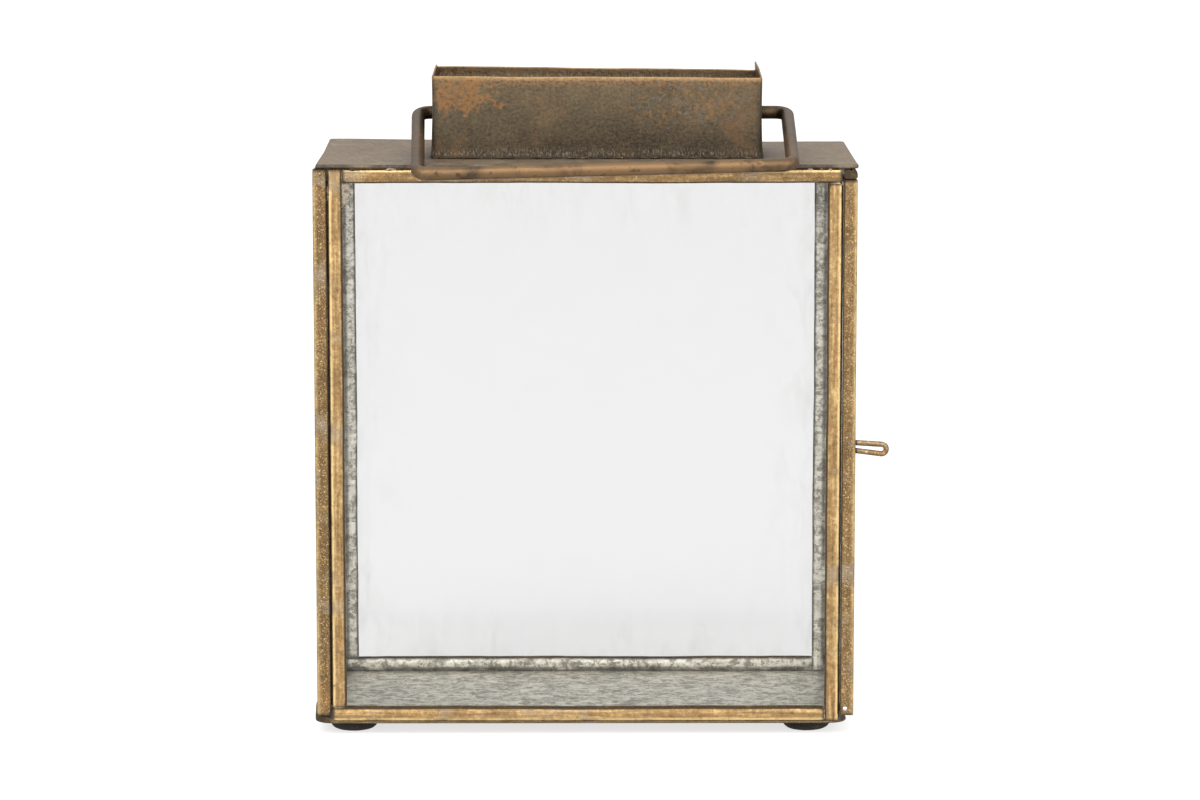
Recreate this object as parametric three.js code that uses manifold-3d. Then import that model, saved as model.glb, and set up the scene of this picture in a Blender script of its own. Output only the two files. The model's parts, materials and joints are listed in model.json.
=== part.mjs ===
// Candle lantern: a shallow rectangular glass box framed in folded brass channel, with an open vent
// chimney on its top plate, a wire handle that swings in the chimney, and a glazed door in its right end.
// Millimetres, +Z up, the front faces -Y. The origin is on the surface that the feet stand on, under the
// centre of the whole lantern's bounding box.
import * as THREE from "three";
import { mergeVertices } from "three/addons/utils/BufferGeometryUtils.js";
import Module from "manifold-3d";

const wasm = await Module();
wasm.setup();

// ---- Driving dimensions. Heights are above the underside of the base sheet. ----

// Overall body
const BODY_WIDTH = 179.6; // over the two end panels
const BODY_DEPTH = 85; // over the front and rear panels
const SHEET = 0.65; // folded channel and plate thickness
const PANEL_TOP = 186.1; // the front, rear and left panels and the door's lintel all reach this height

// Top plate, a sheet with its front and rear edges hemmed under
const PLATE_TOP = 187.7; // upper face
const PLATE_LEFT = -88.7;
const PLATE_RIGHT = 90;
const HEM_THICK = 1.4;
const HEM_DEPTH = 3.5;

// Folded channel that frames every pane
const CHANNEL_FACE = 4.5; // width seen on the face of a panel
const CHANNEL_THICK = 4.6; // thickness of a panel
const CHANNEL_BEND = 0.9; // outer radius of the two folds
const SOLDER_GAP = 0.1; // between channels that are soldered end to side
const GLASS_THICK = 2.4;
const GLASS_EDGE_GAP = 0.5; // from a pane's edge to the bottom of its channel

// Front and rear panels
const FACE_PANEL_WIDTH = 169.2;
const FACE_PANEL_BOTTOM = SHEET + 0.05;

// End panels: a fixed one on the left, the door on the right
const END_PANEL_BOTTOM = 2.7;
const DOOR_TOP = 182.6;
const LINTEL_BOTTOM = 183;

// Base sheet
const BASE_LIP_OUT = 0.9; // the left lip stands outside the end panel
const BASE_LIP_TOP = 4.4;
const BASE_CORNER_LIP_TOP = 2.2; // lower, to pass under the end panel's corners
const BASE_RIGHT = 87.6; // the right edge stops under the door
const BASE_CORNER = 6;
const HINGE_EAR = 6; // length of the ear that reaches out to the hinge rod

// Chimney, which stands a little right of centre
const CHIMNEY_WIDTH = 110.6;
const CHIMNEY_DEPTH = 41.6;
const CHIMNEY_HEIGHT = 27.5;
const REAR_WALL_DROP = 0.8; // the rear wall stops this far below the ends
const CHIMNEY_CENTRE_X = 4;
const CHIMNEY_BEND = 1.8;
const VENT_MARGIN = 2.2; // from the chimney's inner faces to the edge of the vent hole

// Wire handle
const HANDLE_WIRE = 2.25; // radius
const HANDLE_BEND = 4.2; // centre-line radius of its corners
const HANDLE_ARM = 61;
const HANDLE_LEFT_X = -56.5;
const HANDLE_RIGHT_X = 68.3;
const GRIP_LEFT_X = -54.6;
const GRIP_RIGHT_X = 67.6;
const HANDLE_STUB = 6.5; // how far each end reaches inside the chimney
const PIVOT_HEIGHT = 13.7; // above the top plate
const LEFT_ARM_DROP = 14.5; // degrees below level at rest; the left arm lies on the top plate's edge
const RIGHT_ARM_DROP = 11.6; // the bail is slightly twisted
const PIVOT_HOLE = 2.6; // radius

// Door furniture
const HINGE_ROD = 0.8; // radius
const HINGE_INSET = 1.85; // from the door's rear edge to the rod's axis
const HINGE_HOLE = 1.05; // radius
const PULL_WIRE = 0.95; // radius
const PULL_HEIGHT = 93.6;
const PULL_LEG_SPREAD = 1.3; // half the distance between the legs at the door
const PULL_LOOP = 1.6; // centre-line radius of the loop
const PULL_REACH = 11.2; // from the door's outer face to the loop's end
const PULL_SAG = 0.9; // the loop's end hangs this much lower than its root
const PULL_HOLE = 1.15; // radius
const RIVET_HEAD = 0.8; // radius
const RIVET_SHANK = 0.5; // radius
const RIVET_OFF_CENTRE = 0.6;

// Feet
const FOOT_RADIUS = 8;
const FOOT_THICK = 4;
const FOOT_ROUND = 1.6;
const FOOT_LEFT_X = -78;
const FOOT_RIGHT_X = 74.5;
const FOOT_Y = 30;
const FOOT_GAP = 0.05; // the adhesive

// ---- Worked out from those ----
const HALF_WIDTH = BODY_WIDTH / 2;
const HALF_DEPTH = BODY_DEPTH / 2;
const END_PANEL_X = HALF_WIDTH - CHANNEL_THICK / 2;
const FACE_PANEL_Y = HALF_DEPTH - CHANNEL_THICK / 2;
const PIVOT_Z = PLATE_TOP + PIVOT_HEIGHT;
const HINGE_Y = HALF_DEPTH - HINGE_INSET;
const PANE_INSET = SHEET + GLASS_EDGE_GAP;
const HINGE_PANE_INSET = HINGE_INSET + HINGE_ROD + 0.35; // the door's pane stops clear of the rod

const X = new THREE.Vector3(1, 0, 0);
const Y = new THREE.Vector3(0, 1, 0);
const Z = new THREE.Vector3(0, 0, 1);

// ---- Materials ----
const material = (color, roughness, metalness, extra = {}) =>
  new THREE.MeshStandardMaterial({ color, roughness, metalness, ...extra });
const agedBrass = material(0x9a7a48, 0.42, 1);
const darkBrass = material(0x5d4f38, 0.5, 1);
const zincSheet = material(0xa3a297, 0.45, 1);
const clearGlass = material(0xe6efec, 0.05, 0, { transparent: true, opacity: 0.2 });
const blackRubber = material(0x1c1a16, 0.8, 0);
const brightSteel = material(0xc9c7c0, 0.25, 1);

// ---- Geometry helpers ----

// A named mesh in a group.
function addPart(group, name, geometry, look) {
  const mesh = new THREE.Mesh(geometry, look);
  mesh.name = name;
  group.add(mesh);
  return mesh;
}

// A geometry as a manifold-3d solid, and back.
function toSolid(geometry) {
  const bare = geometry.clone();
  for (const name of Object.keys(bare.attributes)) {
    if (name !== "position") bare.deleteAttribute(name);
  }
  const merged = mergeVertices(bare, 1e-4);
  return new wasm.Manifold(
    new wasm.Mesh({
      numProp: 3,
      vertProperties: new Float32Array(merged.attributes.position.array),
      triVerts: new Uint32Array(merged.index.array),
    }),
  );
}

function toGeometry(solid) {
  const mesh = solid.getMesh();
  const geometry = new THREE.BufferGeometry();
  geometry.setAttribute("position", new THREE.BufferAttribute(new Float32Array(mesh.vertProperties), 3));
  geometry.setIndex(new THREE.BufferAttribute(new Uint32Array(mesh.triVerts), 1));
  geometry.computeVertexNormals();
  return geometry;
}

const cutFrom = (geometry, ...tools) =>
  toGeometry(tools.reduce((left, tool) => left.subtract(toSolid(tool)), toSolid(geometry)));

const joined = (geometry, other) => toGeometry(toSolid(geometry).add(toSolid(other)));

// A box between two corners.
function boxBetween(low, high) {
  const size = high.map((value, i) => value - low[i]);
  const middle = high.map((value, i) => (value + low[i]) / 2);
  return new THREE.BoxGeometry(...size).translate(...middle);
}

// A round rod or drill of a radius, centred on a point, along an axis.
function rod(radius, length, centre, axis, sides = 20) {
  const turn = new THREE.Quaternion().setFromUnitVectors(Y, axis);
  return new THREE.CylinderGeometry(radius, radius, length, sides).applyQuaternion(turn).translate(...centre);
}

// The section of a folded channel: u runs from its closed edge towards the glass, v across its thickness.
function channelSection(face) {
  const half = CHANNEL_THICK / 2;
  const inner = half - SHEET;
  const section = new THREE.Shape();
  section.moveTo(face, -half);
  section.lineTo(face, -inner);
  section.lineTo(SHEET, -inner);
  section.lineTo(SHEET, inner);
  section.lineTo(face, inner);
  section.lineTo(face, half);
  section.lineTo(CHANNEL_BEND, half);
  section.absarc(CHANNEL_BEND, half - CHANNEL_BEND, CHANNEL_BEND, Math.PI / 2, Math.PI, false);
  section.absarc(CHANNEL_BEND, CHANNEL_BEND - half, CHANNEL_BEND, Math.PI, 1.5 * Math.PI, false);
  section.lineTo(face, -half);
  return section;
}

// A length of channel. Its closed edge starts at start and runs along, and it opens inward.
function channel(start, along, inward, length, face = CHANNEL_FACE) {
  const flat = new THREE.ExtrudeGeometry(channelSection(face), {
    depth: length,
    bevelEnabled: false,
    curveSegments: 3,
  });
  const across = new THREE.Vector3().crossVectors(along, inward);
  const placed = new THREE.Matrix4().makeBasis(inward, across, along).setPosition(start);
  return flat.applyMatrix4(placed);
}

// Where a panel lies: at() gives the point so far across and so far up from its lower near corner.
const panelFrame = (corner, across, width, height) => ({
  across,
  width,
  height,
  at: (s, t) => corner.clone().addScaledVector(across, s).addScaledVector(Z, t),
});

// Front or rear frame: four channels, each lapping the end of the next like a pinwheel.
function pinwheelChannels({ across, width, height, at }) {
  const step = CHANNEL_FACE + SOLDER_GAP;
  const back = across.clone().negate();
  const down = Z.clone().negate();
  return {
    bottom: channel(at(0, 0), across, Z, width - step),
    right: channel(at(width, 0), Z, back, height - step),
    top: channel(at(step, height), across, down, width - step),
    left: channel(at(0, step), Z, across, height - step),
  };
}

// End frame: two full-height stiles with a rail between them at the top and the bottom.
function stileChannels({ across, width, height, at }) {
  const step = CHANNEL_FACE + SOLDER_GAP;
  const back = across.clone().negate();
  const down = Z.clone().negate();
  return {
    front: channel(at(0, 0), Z, across, height),
    rear: channel(at(width, 0), Z, back, height),
    bottom: channel(at(step, 0), across, Z, width - 2 * step),
    top: channel(at(step, height), across, down, width - 2 * step),
  };
}

// A pane that reaches into its four channels; farInset is the gap at the far stile.
function pane({ across, width, height, at }, farInset = PANE_INSET) {
  const low = at(PANE_INSET, PANE_INSET);
  const high = at(width - farInset, height - PANE_INSET);
  const thickness = new THREE.Vector3().crossVectors(across, Z).multiplyScalar(GLASS_THICK / 2);
  const corners = [low.clone().sub(thickness), high.clone().add(thickness)];
  const bounds = new THREE.Box3().setFromPoints(corners);
  return boxBetween(bounds.min.toArray(), bounds.max.toArray());
}

// A wire's centre line: straight runs between corners that are rounded to a radius. It gives
// ExtrudeGeometry its own points, close together in the bends and far apart between them.
class BentWire extends THREE.Curve {
  constructor(corners, radius, bendSteps) {
    super();
    this.points = [corners[0].clone()];
    this.tangents = [corners[1].clone().sub(corners[0]).normalize()];
    for (let i = 1; i < corners.length - 1; i++) {
      const before = corners[i].clone().sub(corners[i - 1]).normalize();
      const after = corners[i + 1].clone().sub(corners[i]).normalize();
      const turn = before.angleTo(after);
      const setback = radius * Math.tan(turn / 2);
      const axis = new THREE.Vector3().crossVectors(before, after).normalize();
      const toCentre = new THREE.Vector3().crossVectors(axis, before);
      const arcStart = corners[i].clone().addScaledVector(before, -setback);
      const centre = arcStart.clone().addScaledVector(toCentre, radius);
      for (let k = 0; k <= bendSteps; k++) {
        const angle = (turn * k) / bendSteps;
        const spoke = arcStart.clone().sub(centre).applyAxisAngle(axis, angle);
        this.points.push(centre.clone().add(spoke));
        this.tangents.push(before.clone().applyAxisAngle(axis, angle));
      }
    }
    this.points.push(corners.at(-1).clone());
    this.tangents.push(this.tangents.at(-1).clone());
  }
  index(u) {
    return Math.round(u * (this.points.length - 1));
  }
  getPoint(t, target = new THREE.Vector3()) {
    return target.copy(this.points[this.index(t)]);
  }
  getPointAt(u, target) {
    return this.getPoint(u, target);
  }
  getTangentAt(u, target = new THREE.Vector3()) {
    return target.copy(this.tangents[this.index(u)]);
  }
}

function wire(corners, wireRadius, bendRadius, bendSteps, sides) {
  const path = new BentWire(corners, bendRadius, bendSteps);
  const section = new THREE.Shape();
  for (let i = 0; i < sides; i++) {
    const angle = (2 * Math.PI * i) / sides;
    const method = i ? "lineTo" : "moveTo";
    section[method](wireRadius * Math.cos(angle), wireRadius * Math.sin(angle));
  }
  section.closePath();
  return new THREE.ExtrudeGeometry(section, { steps: path.points.length - 1, extrudePath: path });
}

// ---- Sub-assemblies ----

// Base sheet with rounded corners, a lip round its left end that dips at the corners, and an ear at its
// rear right corner with a hole for the hinge rod.
function buildBase(group) {
  const left = -HALF_WIDTH - BASE_LIP_OUT;
  const cornerX = left + BASE_CORNER;
  const cornerY = HALF_DEPTH - BASE_CORNER;
  const outline = new THREE.Shape();
  outline.moveTo(cornerX, -HALF_DEPTH);
  outline.lineTo(BASE_RIGHT - BASE_CORNER, -HALF_DEPTH);
  outline.absarc(BASE_RIGHT - BASE_CORNER, -cornerY, BASE_CORNER, -Math.PI / 2, 0, false);
  outline.lineTo(BASE_RIGHT, HALF_DEPTH - HINGE_EAR);
  outline.lineTo(HALF_WIDTH, HALF_DEPTH - HINGE_EAR + 1.5);
  outline.lineTo(HALF_WIDTH, HALF_DEPTH);
  outline.lineTo(cornerX, HALF_DEPTH);
  outline.absarc(cornerX, cornerY, BASE_CORNER, Math.PI / 2, Math.PI, false);
  outline.absarc(cornerX, -cornerY, BASE_CORNER, Math.PI, 1.5 * Math.PI, false);
  const sheet = new THREE.ExtrudeGeometry(outline, { depth: SHEET, bevelEnabled: false, curveSegments: 6 });

  const rim = new THREE.Shape();
  rim.moveTo(cornerX, HALF_DEPTH);
  rim.absarc(cornerX, cornerY, BASE_CORNER, Math.PI / 2, Math.PI, false);
  rim.absarc(cornerX, -cornerY, BASE_CORNER, Math.PI, 1.5 * Math.PI, false);
  rim.absarc(cornerX, -cornerY, BASE_CORNER - SHEET, 1.5 * Math.PI, Math.PI, true);
  rim.absarc(cornerX, cornerY, BASE_CORNER - SHEET, Math.PI, Math.PI / 2, true);
  const cornerLip = new THREE.ExtrudeGeometry(rim, {
    depth: BASE_CORNER_LIP_TOP,
    bevelEnabled: false,
    curveSegments: 6,
  });
  const sideLip = boxBetween([left, -cornerY, SHEET / 2], [left + SHEET, cornerY, BASE_LIP_TOP]);
  const hole = rod(HINGE_HOLE, 4, [END_PANEL_X, HINGE_Y, SHEET / 2], Z);
  const tray = joined(joined(sheet, cornerLip), sideLip);
  addPart(group, "base_sheet", cutFrom(tray, hole), zincSheet);
}

// Four self-adhesive pads with rounded lower rims.
function buildFeet(group) {
  const flat = FOOT_RADIUS - FOOT_ROUND;
  const profile = [new THREE.Vector2(0, 0), new THREE.Vector2(flat, 0)];
  for (let i = 1; i <= 3; i++) {
    const angle = (Math.PI / 2) * (i / 3);
    profile.push(
      new THREE.Vector2(flat + FOOT_ROUND * Math.sin(angle), FOOT_ROUND * (1 - Math.cos(angle))),
    );
  }
  profile.push(new THREE.Vector2(FOOT_RADIUS, FOOT_THICK - FOOT_GAP), new THREE.Vector2(0, FOOT_THICK - FOOT_GAP));
  const places = {
    foot_front_left: [FOOT_LEFT_X, -FOOT_Y],
    foot_front_right: [FOOT_RIGHT_X, -FOOT_Y],
    foot_rear_left: [FOOT_LEFT_X, FOOT_Y],
    foot_rear_right: [FOOT_RIGHT_X, FOOT_Y],
  };
  for (const [name, [x, y]] of Object.entries(places)) {
    const pad = new THREE.LatheGeometry(profile, 24).rotateX(Math.PI / 2);
    addPart(group, name, pad, blackRubber).position.set(x, y, -FOOT_THICK);
  }
}

// The front or the rear panel.
function buildFacePanel(group, side, y) {
  const corner = new THREE.Vector3(-FACE_PANEL_WIDTH / 2, y, FACE_PANEL_BOTTOM);
  const frame = panelFrame(corner, X, FACE_PANEL_WIDTH, PANEL_TOP - FACE_PANEL_BOTTOM);
  for (const [edge, geometry] of Object.entries(pinwheelChannels(frame))) {
    addPart(group, `${side}_${edge}_channel`, geometry, agedBrass);
  }
  addPart(group, `${side}_glass`, pane(frame), clearGlass);
}

// The fixed panel that closes the left end.
function buildLeftPanel(group) {
  const corner = new THREE.Vector3(-END_PANEL_X, -HALF_DEPTH, END_PANEL_BOTTOM);
  const frame = panelFrame(corner, Y, BODY_DEPTH, PANEL_TOP - END_PANEL_BOTTOM);
  for (const [edge, geometry] of Object.entries(stileChannels(frame))) {
    addPart(group, `left_${edge}_channel`, geometry, agedBrass);
  }
  addPart(group, "left_glass", pane(frame), clearGlass);
}

// The rail over the doorway, which opens upwards and takes the top of the hinge rod, and that rod.
function buildDoorway(group) {
  const start = new THREE.Vector3(END_PANEL_X, -HALF_DEPTH, LINTEL_BOTTOM);
  const lintel = channel(start, Y, Z, BODY_DEPTH, PANEL_TOP - LINTEL_BOTTOM);
  const hole = rod(HINGE_HOLE, 3, [END_PANEL_X, HINGE_Y, LINTEL_BOTTOM], Z);
  addPart(group, "door_lintel", cutFrom(lintel, hole), agedBrass);
  const rodTop = LINTEL_BOTTOM + 2;
  const hinge = rod(HINGE_ROD, rodTop, [END_PANEL_X, HINGE_Y, rodTop / 2], Z, 12);
  addPart(group, "hinge_rod", hinge, darkBrass);
}

// The top plate: the section of a sheet hemmed at the front and the rear, run from end to end, with the
// vent hole cut under the chimney.
function buildTopPlate(group) {
  const nose = HEM_THICK / 2;
  const underside = HEM_THICK - SHEET;
  const section = new THREE.Shape();
  section.moveTo(nose - HALF_DEPTH, 0);
  section.lineTo(HEM_DEPTH - HALF_DEPTH, 0);
  section.lineTo(HEM_DEPTH - HALF_DEPTH, underside);
  section.lineTo(HALF_DEPTH - HEM_DEPTH, underside);
  section.lineTo(HALF_DEPTH - HEM_DEPTH, 0);
  section.lineTo(HALF_DEPTH - nose, 0);
  section.absarc(HALF_DEPTH - nose, nose, nose, -Math.PI / 2, Math.PI / 2, false);
  section.lineTo(nose - HALF_DEPTH, HEM_THICK);
  section.absarc(nose - HALF_DEPTH, nose, nose, Math.PI / 2, 1.5 * Math.PI, false);
  const width = PLATE_RIGHT - PLATE_LEFT;
  const sheet = new THREE.ExtrudeGeometry(section, { depth: width, bevelEnabled: false, curveSegments: 6 });
  const placed = new THREE.Matrix4().makeBasis(Y, Z, X).setPosition(PLATE_LEFT, 0, PLATE_TOP - HEM_THICK);
  const halfVentX = CHIMNEY_WIDTH / 2 - SHEET - VENT_MARGIN;
  const halfVentY = CHIMNEY_DEPTH / 2 - SHEET - VENT_MARGIN;
  const vent = boxBetween(
    [CHIMNEY_CENTRE_X - halfVentX, -halfVentY, PLATE_TOP - 5],
    [CHIMNEY_CENTRE_X + halfVentX, halfVentY, PLATE_TOP + 5],
  );
  addPart(group, "top_plate", cutFrom(sheet.applyMatrix4(placed), vent), agedBrass);
}

// The chimney: one strip folded round the front and both ends, and a separate rear wall between the ends.
function buildChimney(group) {
  const halfX = CHIMNEY_WIDTH / 2;
  const halfY = CHIMNEY_DEPTH / 2;
  const bend = CHIMNEY_BEND;
  const inner = bend - SHEET;
  const strip = new THREE.Shape();
  strip.moveTo(-halfX, halfY);
  strip.lineTo(-halfX, bend - halfY);
  strip.absarc(bend - halfX, bend - halfY, bend, Math.PI, 1.5 * Math.PI, false);
  strip.lineTo(halfX - bend, -halfY);
  strip.absarc(halfX - bend, bend - halfY, bend, 1.5 * Math.PI, 2 * Math.PI, false);
  strip.lineTo(halfX, halfY);
  strip.lineTo(halfX - SHEET, halfY);
  strip.lineTo(halfX - SHEET, bend - halfY);
  strip.absarc(halfX - bend, bend - halfY, inner, 0, -Math.PI / 2, true);
  strip.lineTo(bend - halfX, SHEET - halfY);
  strip.absarc(bend - halfX, bend - halfY, inner, 1.5 * Math.PI, Math.PI, true);
  strip.lineTo(SHEET - halfX, halfY);
  const foot = PLATE_TOP + SOLDER_GAP;
  const height = CHIMNEY_HEIGHT - SOLDER_GAP;
  const walls = new THREE.ExtrudeGeometry(strip, { depth: height, bevelEnabled: false, curveSegments: 4 });
  walls.translate(CHIMNEY_CENTRE_X, 0, foot);
  const drill = rod(PIVOT_HOLE, CHIMNEY_WIDTH + 10, [CHIMNEY_CENTRE_X, 0, PIVOT_Z], X, 24);
  addPart(group, "chimney_wrap", cutFrom(walls, drill), darkBrass);
  const reach = halfX - SHEET - SOLDER_GAP;
  const rear = boxBetween(
    [CHIMNEY_CENTRE_X - reach, halfY - SHEET, foot],
    [CHIMNEY_CENTRE_X + reach, halfY, PLATE_TOP + CHIMNEY_HEIGHT - REAR_WALL_DROP],
  );
  addPart(group, "chimney_rear_wall", rear, darkBrass);
}

// The handle: one wire whose two ends turn in through the chimney's end walls.
function buildHandle(group) {
  const chimneyLeft = CHIMNEY_CENTRE_X - CHIMNEY_WIDTH / 2;
  const chimneyRight = CHIMNEY_CENTRE_X + CHIMNEY_WIDTH / 2;
  const grip = (x, drop) => {
    const angle = THREE.MathUtils.degToRad(drop);
    return new THREE.Vector3(x, -HANDLE_ARM * Math.cos(angle), -HANDLE_ARM * Math.sin(angle));
  };
  const corners = [
    new THREE.Vector3(chimneyLeft + HANDLE_STUB, 0, 0),
    new THREE.Vector3(HANDLE_LEFT_X, 0, 0),
    grip(GRIP_LEFT_X, LEFT_ARM_DROP),
    grip(GRIP_RIGHT_X, RIGHT_ARM_DROP),
    new THREE.Vector3(HANDLE_RIGHT_X, 0, 0),
    new THREE.Vector3(chimneyRight - HANDLE_STUB, 0, 0),
  ];
  const bail = wire(corners, HANDLE_WIRE, HANDLE_BEND, 6, 16);
  addPart(group, "handle", bail, darkBrass).position.set(0, 0, PIVOT_Z);
}

// The door: stile frame, pane, wire pull and the rivet that holds its lower front corner.
function buildDoor(group) {
  const corner = new THREE.Vector3(END_PANEL_X, -HALF_DEPTH, END_PANEL_BOTTOM);
  const frame = panelFrame(corner, Y, BODY_DEPTH, DOOR_TOP - END_PANEL_BOTTOM);
  const { front, ...others } = stileChannels(frame);
  const stileY = -HALF_DEPTH + CHANNEL_FACE / 2;
  const rivetX = END_PANEL_X - RIVET_OFF_CENTRE;
  const rivetZ = END_PANEL_BOTTOM + CHANNEL_FACE / 2;
  const flange = HALF_WIDTH - SHEET / 2;
  const drills = [1, -1].map((side) =>
    rod(PULL_HOLE, 2 * SHEET, [flange, stileY, PULL_HEIGHT + side * PULL_LEG_SPREAD], X),
  );
  drills.push(rod(RIVET_SHANK + 0.15, 3, [rivetX, -HALF_DEPTH, rivetZ], Y, 12));
  addPart(group, "door_front_channel", cutFrom(front, ...drills), agedBrass);
  for (const [edge, geometry] of Object.entries(others)) {
    addPart(group, `door_${edge}_channel`, geometry, agedBrass);
  }
  addPart(group, "door_glass", pane(frame, HINGE_PANE_INSET), clearGlass);

  const legRoot = HALF_WIDTH - SHEET - 0.1;
  const loopX = HALF_WIDTH + PULL_REACH - PULL_WIRE;
  const place = (x, z) => new THREE.Vector3(x, stileY, z);
  const hairpin = [
    place(legRoot, PULL_HEIGHT + PULL_LEG_SPREAD),
    place(loopX, PULL_HEIGHT - PULL_SAG + PULL_LOOP),
    place(loopX, PULL_HEIGHT - PULL_SAG - PULL_LOOP),
    place(legRoot, PULL_HEIGHT - PULL_LEG_SPREAD),
  ];
  const pull = wire(hairpin, PULL_WIRE, PULL_LOOP * 0.99, 8, 12);
  addPart(group, "door_pull", pull, agedBrass);

  const shankEnd = PANE_INSET - 0.15;
  const rivetProfile = [
    new THREE.Vector2(0, -shankEnd),
    new THREE.Vector2(RIVET_SHANK, -shankEnd),
    new THREE.Vector2(RIVET_SHANK, 0.05),
    new THREE.Vector2(RIVET_HEAD, 0.05),
    new THREE.Vector2(RIVET_HEAD * 0.8, 0.35),
    new THREE.Vector2(RIVET_HEAD * 0.4, 0.5),
    new THREE.Vector2(0, 0.55),
  ];
  const rivet = new THREE.LatheGeometry(rivetProfile, 16).rotateX(Math.PI);
  addPart(group, "door_corner_rivet", rivet, brightSteel).position.set(rivetX, -HALF_DEPTH, rivetZ);
}

// ---- The lantern, moved so that its bounding box stands centred over the origin ----
const furthestLeft = -HALF_WIDTH - BASE_LIP_OUT;
const furthestRight = HALF_WIDTH + PULL_REACH;
const gripFront = -HANDLE_ARM * Math.cos(THREE.MathUtils.degToRad(RIGHT_ARM_DROP)) - HANDLE_WIRE;

const lantern = new THREE.Group();
lantern.position.set(
  -(furthestLeft + furthestRight) / 2,
  -(gripFront + HALF_DEPTH) / 2,
  FOOT_THICK,
);
buildBase(lantern);
buildFeet(lantern);
buildFacePanel(lantern, "front", -FACE_PANEL_Y);
buildFacePanel(lantern, "rear", FACE_PANEL_Y);
buildLeftPanel(lantern);
buildDoorway(lantern);
buildTopPlate(lantern);
buildChimney(lantern);
buildHandle(lantern);
buildDoor(lantern);

const model = new THREE.Group();
model.add(lantern);

export default model;
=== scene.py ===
"""The looks of a candle lantern: folded brass channel, galvanised insides, old glass and a wire handle.

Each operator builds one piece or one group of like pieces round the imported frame, in metres. Lengths in
the code are millimetres times MM. Shapes are numpy grids; finishes are node materials.
"""

import json
import math

import bpy
import numpy as np
from bpy.props import FloatProperty, FloatVectorProperty, PointerProperty
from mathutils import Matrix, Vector


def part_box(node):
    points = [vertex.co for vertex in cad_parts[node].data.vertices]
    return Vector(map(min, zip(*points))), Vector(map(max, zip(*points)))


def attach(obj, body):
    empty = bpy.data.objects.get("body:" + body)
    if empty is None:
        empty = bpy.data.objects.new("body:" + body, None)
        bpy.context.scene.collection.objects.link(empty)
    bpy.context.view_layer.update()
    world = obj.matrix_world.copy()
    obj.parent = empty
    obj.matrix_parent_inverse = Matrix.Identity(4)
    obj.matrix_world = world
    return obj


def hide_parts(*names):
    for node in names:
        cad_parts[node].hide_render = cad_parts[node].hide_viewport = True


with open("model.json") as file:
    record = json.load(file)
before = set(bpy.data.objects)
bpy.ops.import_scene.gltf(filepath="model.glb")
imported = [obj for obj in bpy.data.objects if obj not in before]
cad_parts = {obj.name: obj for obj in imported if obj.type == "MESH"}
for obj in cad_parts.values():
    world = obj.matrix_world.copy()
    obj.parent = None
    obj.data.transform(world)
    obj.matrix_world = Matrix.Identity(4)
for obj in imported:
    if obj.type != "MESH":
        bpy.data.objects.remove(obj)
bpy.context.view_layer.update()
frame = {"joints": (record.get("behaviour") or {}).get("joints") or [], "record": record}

bl_info = {
    "name": "Candle lantern",
    "version": (1, 0, 0),
    "blender": (4, 5, 0),
    "location": "3D View > Sidebar > Lantern",
    "description": "Builds a glass candle lantern of folded brass channel around its packed frame",
    "category": "Add Mesh",
}

MM = 0.001
X, Y, Z = np.eye(3)


def srgb(red, green, blue):
    """A display colour of 0 to 255 as linear light."""
    parts = (red / 255, green / 255, blue / 255)
    return tuple(part / 12.92 if part < 0.0405 else ((part + 0.055) / 1.055) ** 2.4 for part in parts)


def colour(label, what, *rgb):
    """A colour that can be set in the panel, given as display values."""
    limits = {"size": 3, "min": 0.0, "max": 1.0}
    return FloatVectorProperty(name=label, description=what, subtype="COLOR", default=srgb(*rgb), **limits)


def length(label, what, millimetres):
    """A length that can be set in the panel, given in millimetres."""
    return FloatProperty(name=label, description=what, unit="LENGTH", default=millimetres * MM, min=0.0)


class LanternSizes(bpy.types.PropertyGroup):
    """Sizes of what the frame leaves open: how the sheet is folded and how far handwork strays."""

    sheet: length("Sheet", "Thickness of the folded brass sheet", 0.62)
    fold: length("Fold radius", "Outer radius of a channel's two folds", 0.85)
    stray: length("Stray", "How far a channel's edges wander from straight", 0.16)
    dent: length("Dent", "How far a channel's faces bulge and sink", 0.07)
    hem: length("Hem", "Width of the plate's hem seen from below", 3.5)
    lift: length("Plate lift", "How far the plate's rear left corner is sprung upwards", 1.0)
    wire: length("Handle wire", "Radius of the handle's wire", 2.25)
    wire_bend: length("Handle bend", "Radius of the handle's corners on the wire's centre line", 4.2)
    pull_wire: length("Pull wire", "Radius of the door pull's wire", 0.95)
    arris: length("Arris", "Width of the ground edge round each pane", 0.25)
    bead: length("Solder bead", "Radius of the solder along the chimney's foot", 0.32)


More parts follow.
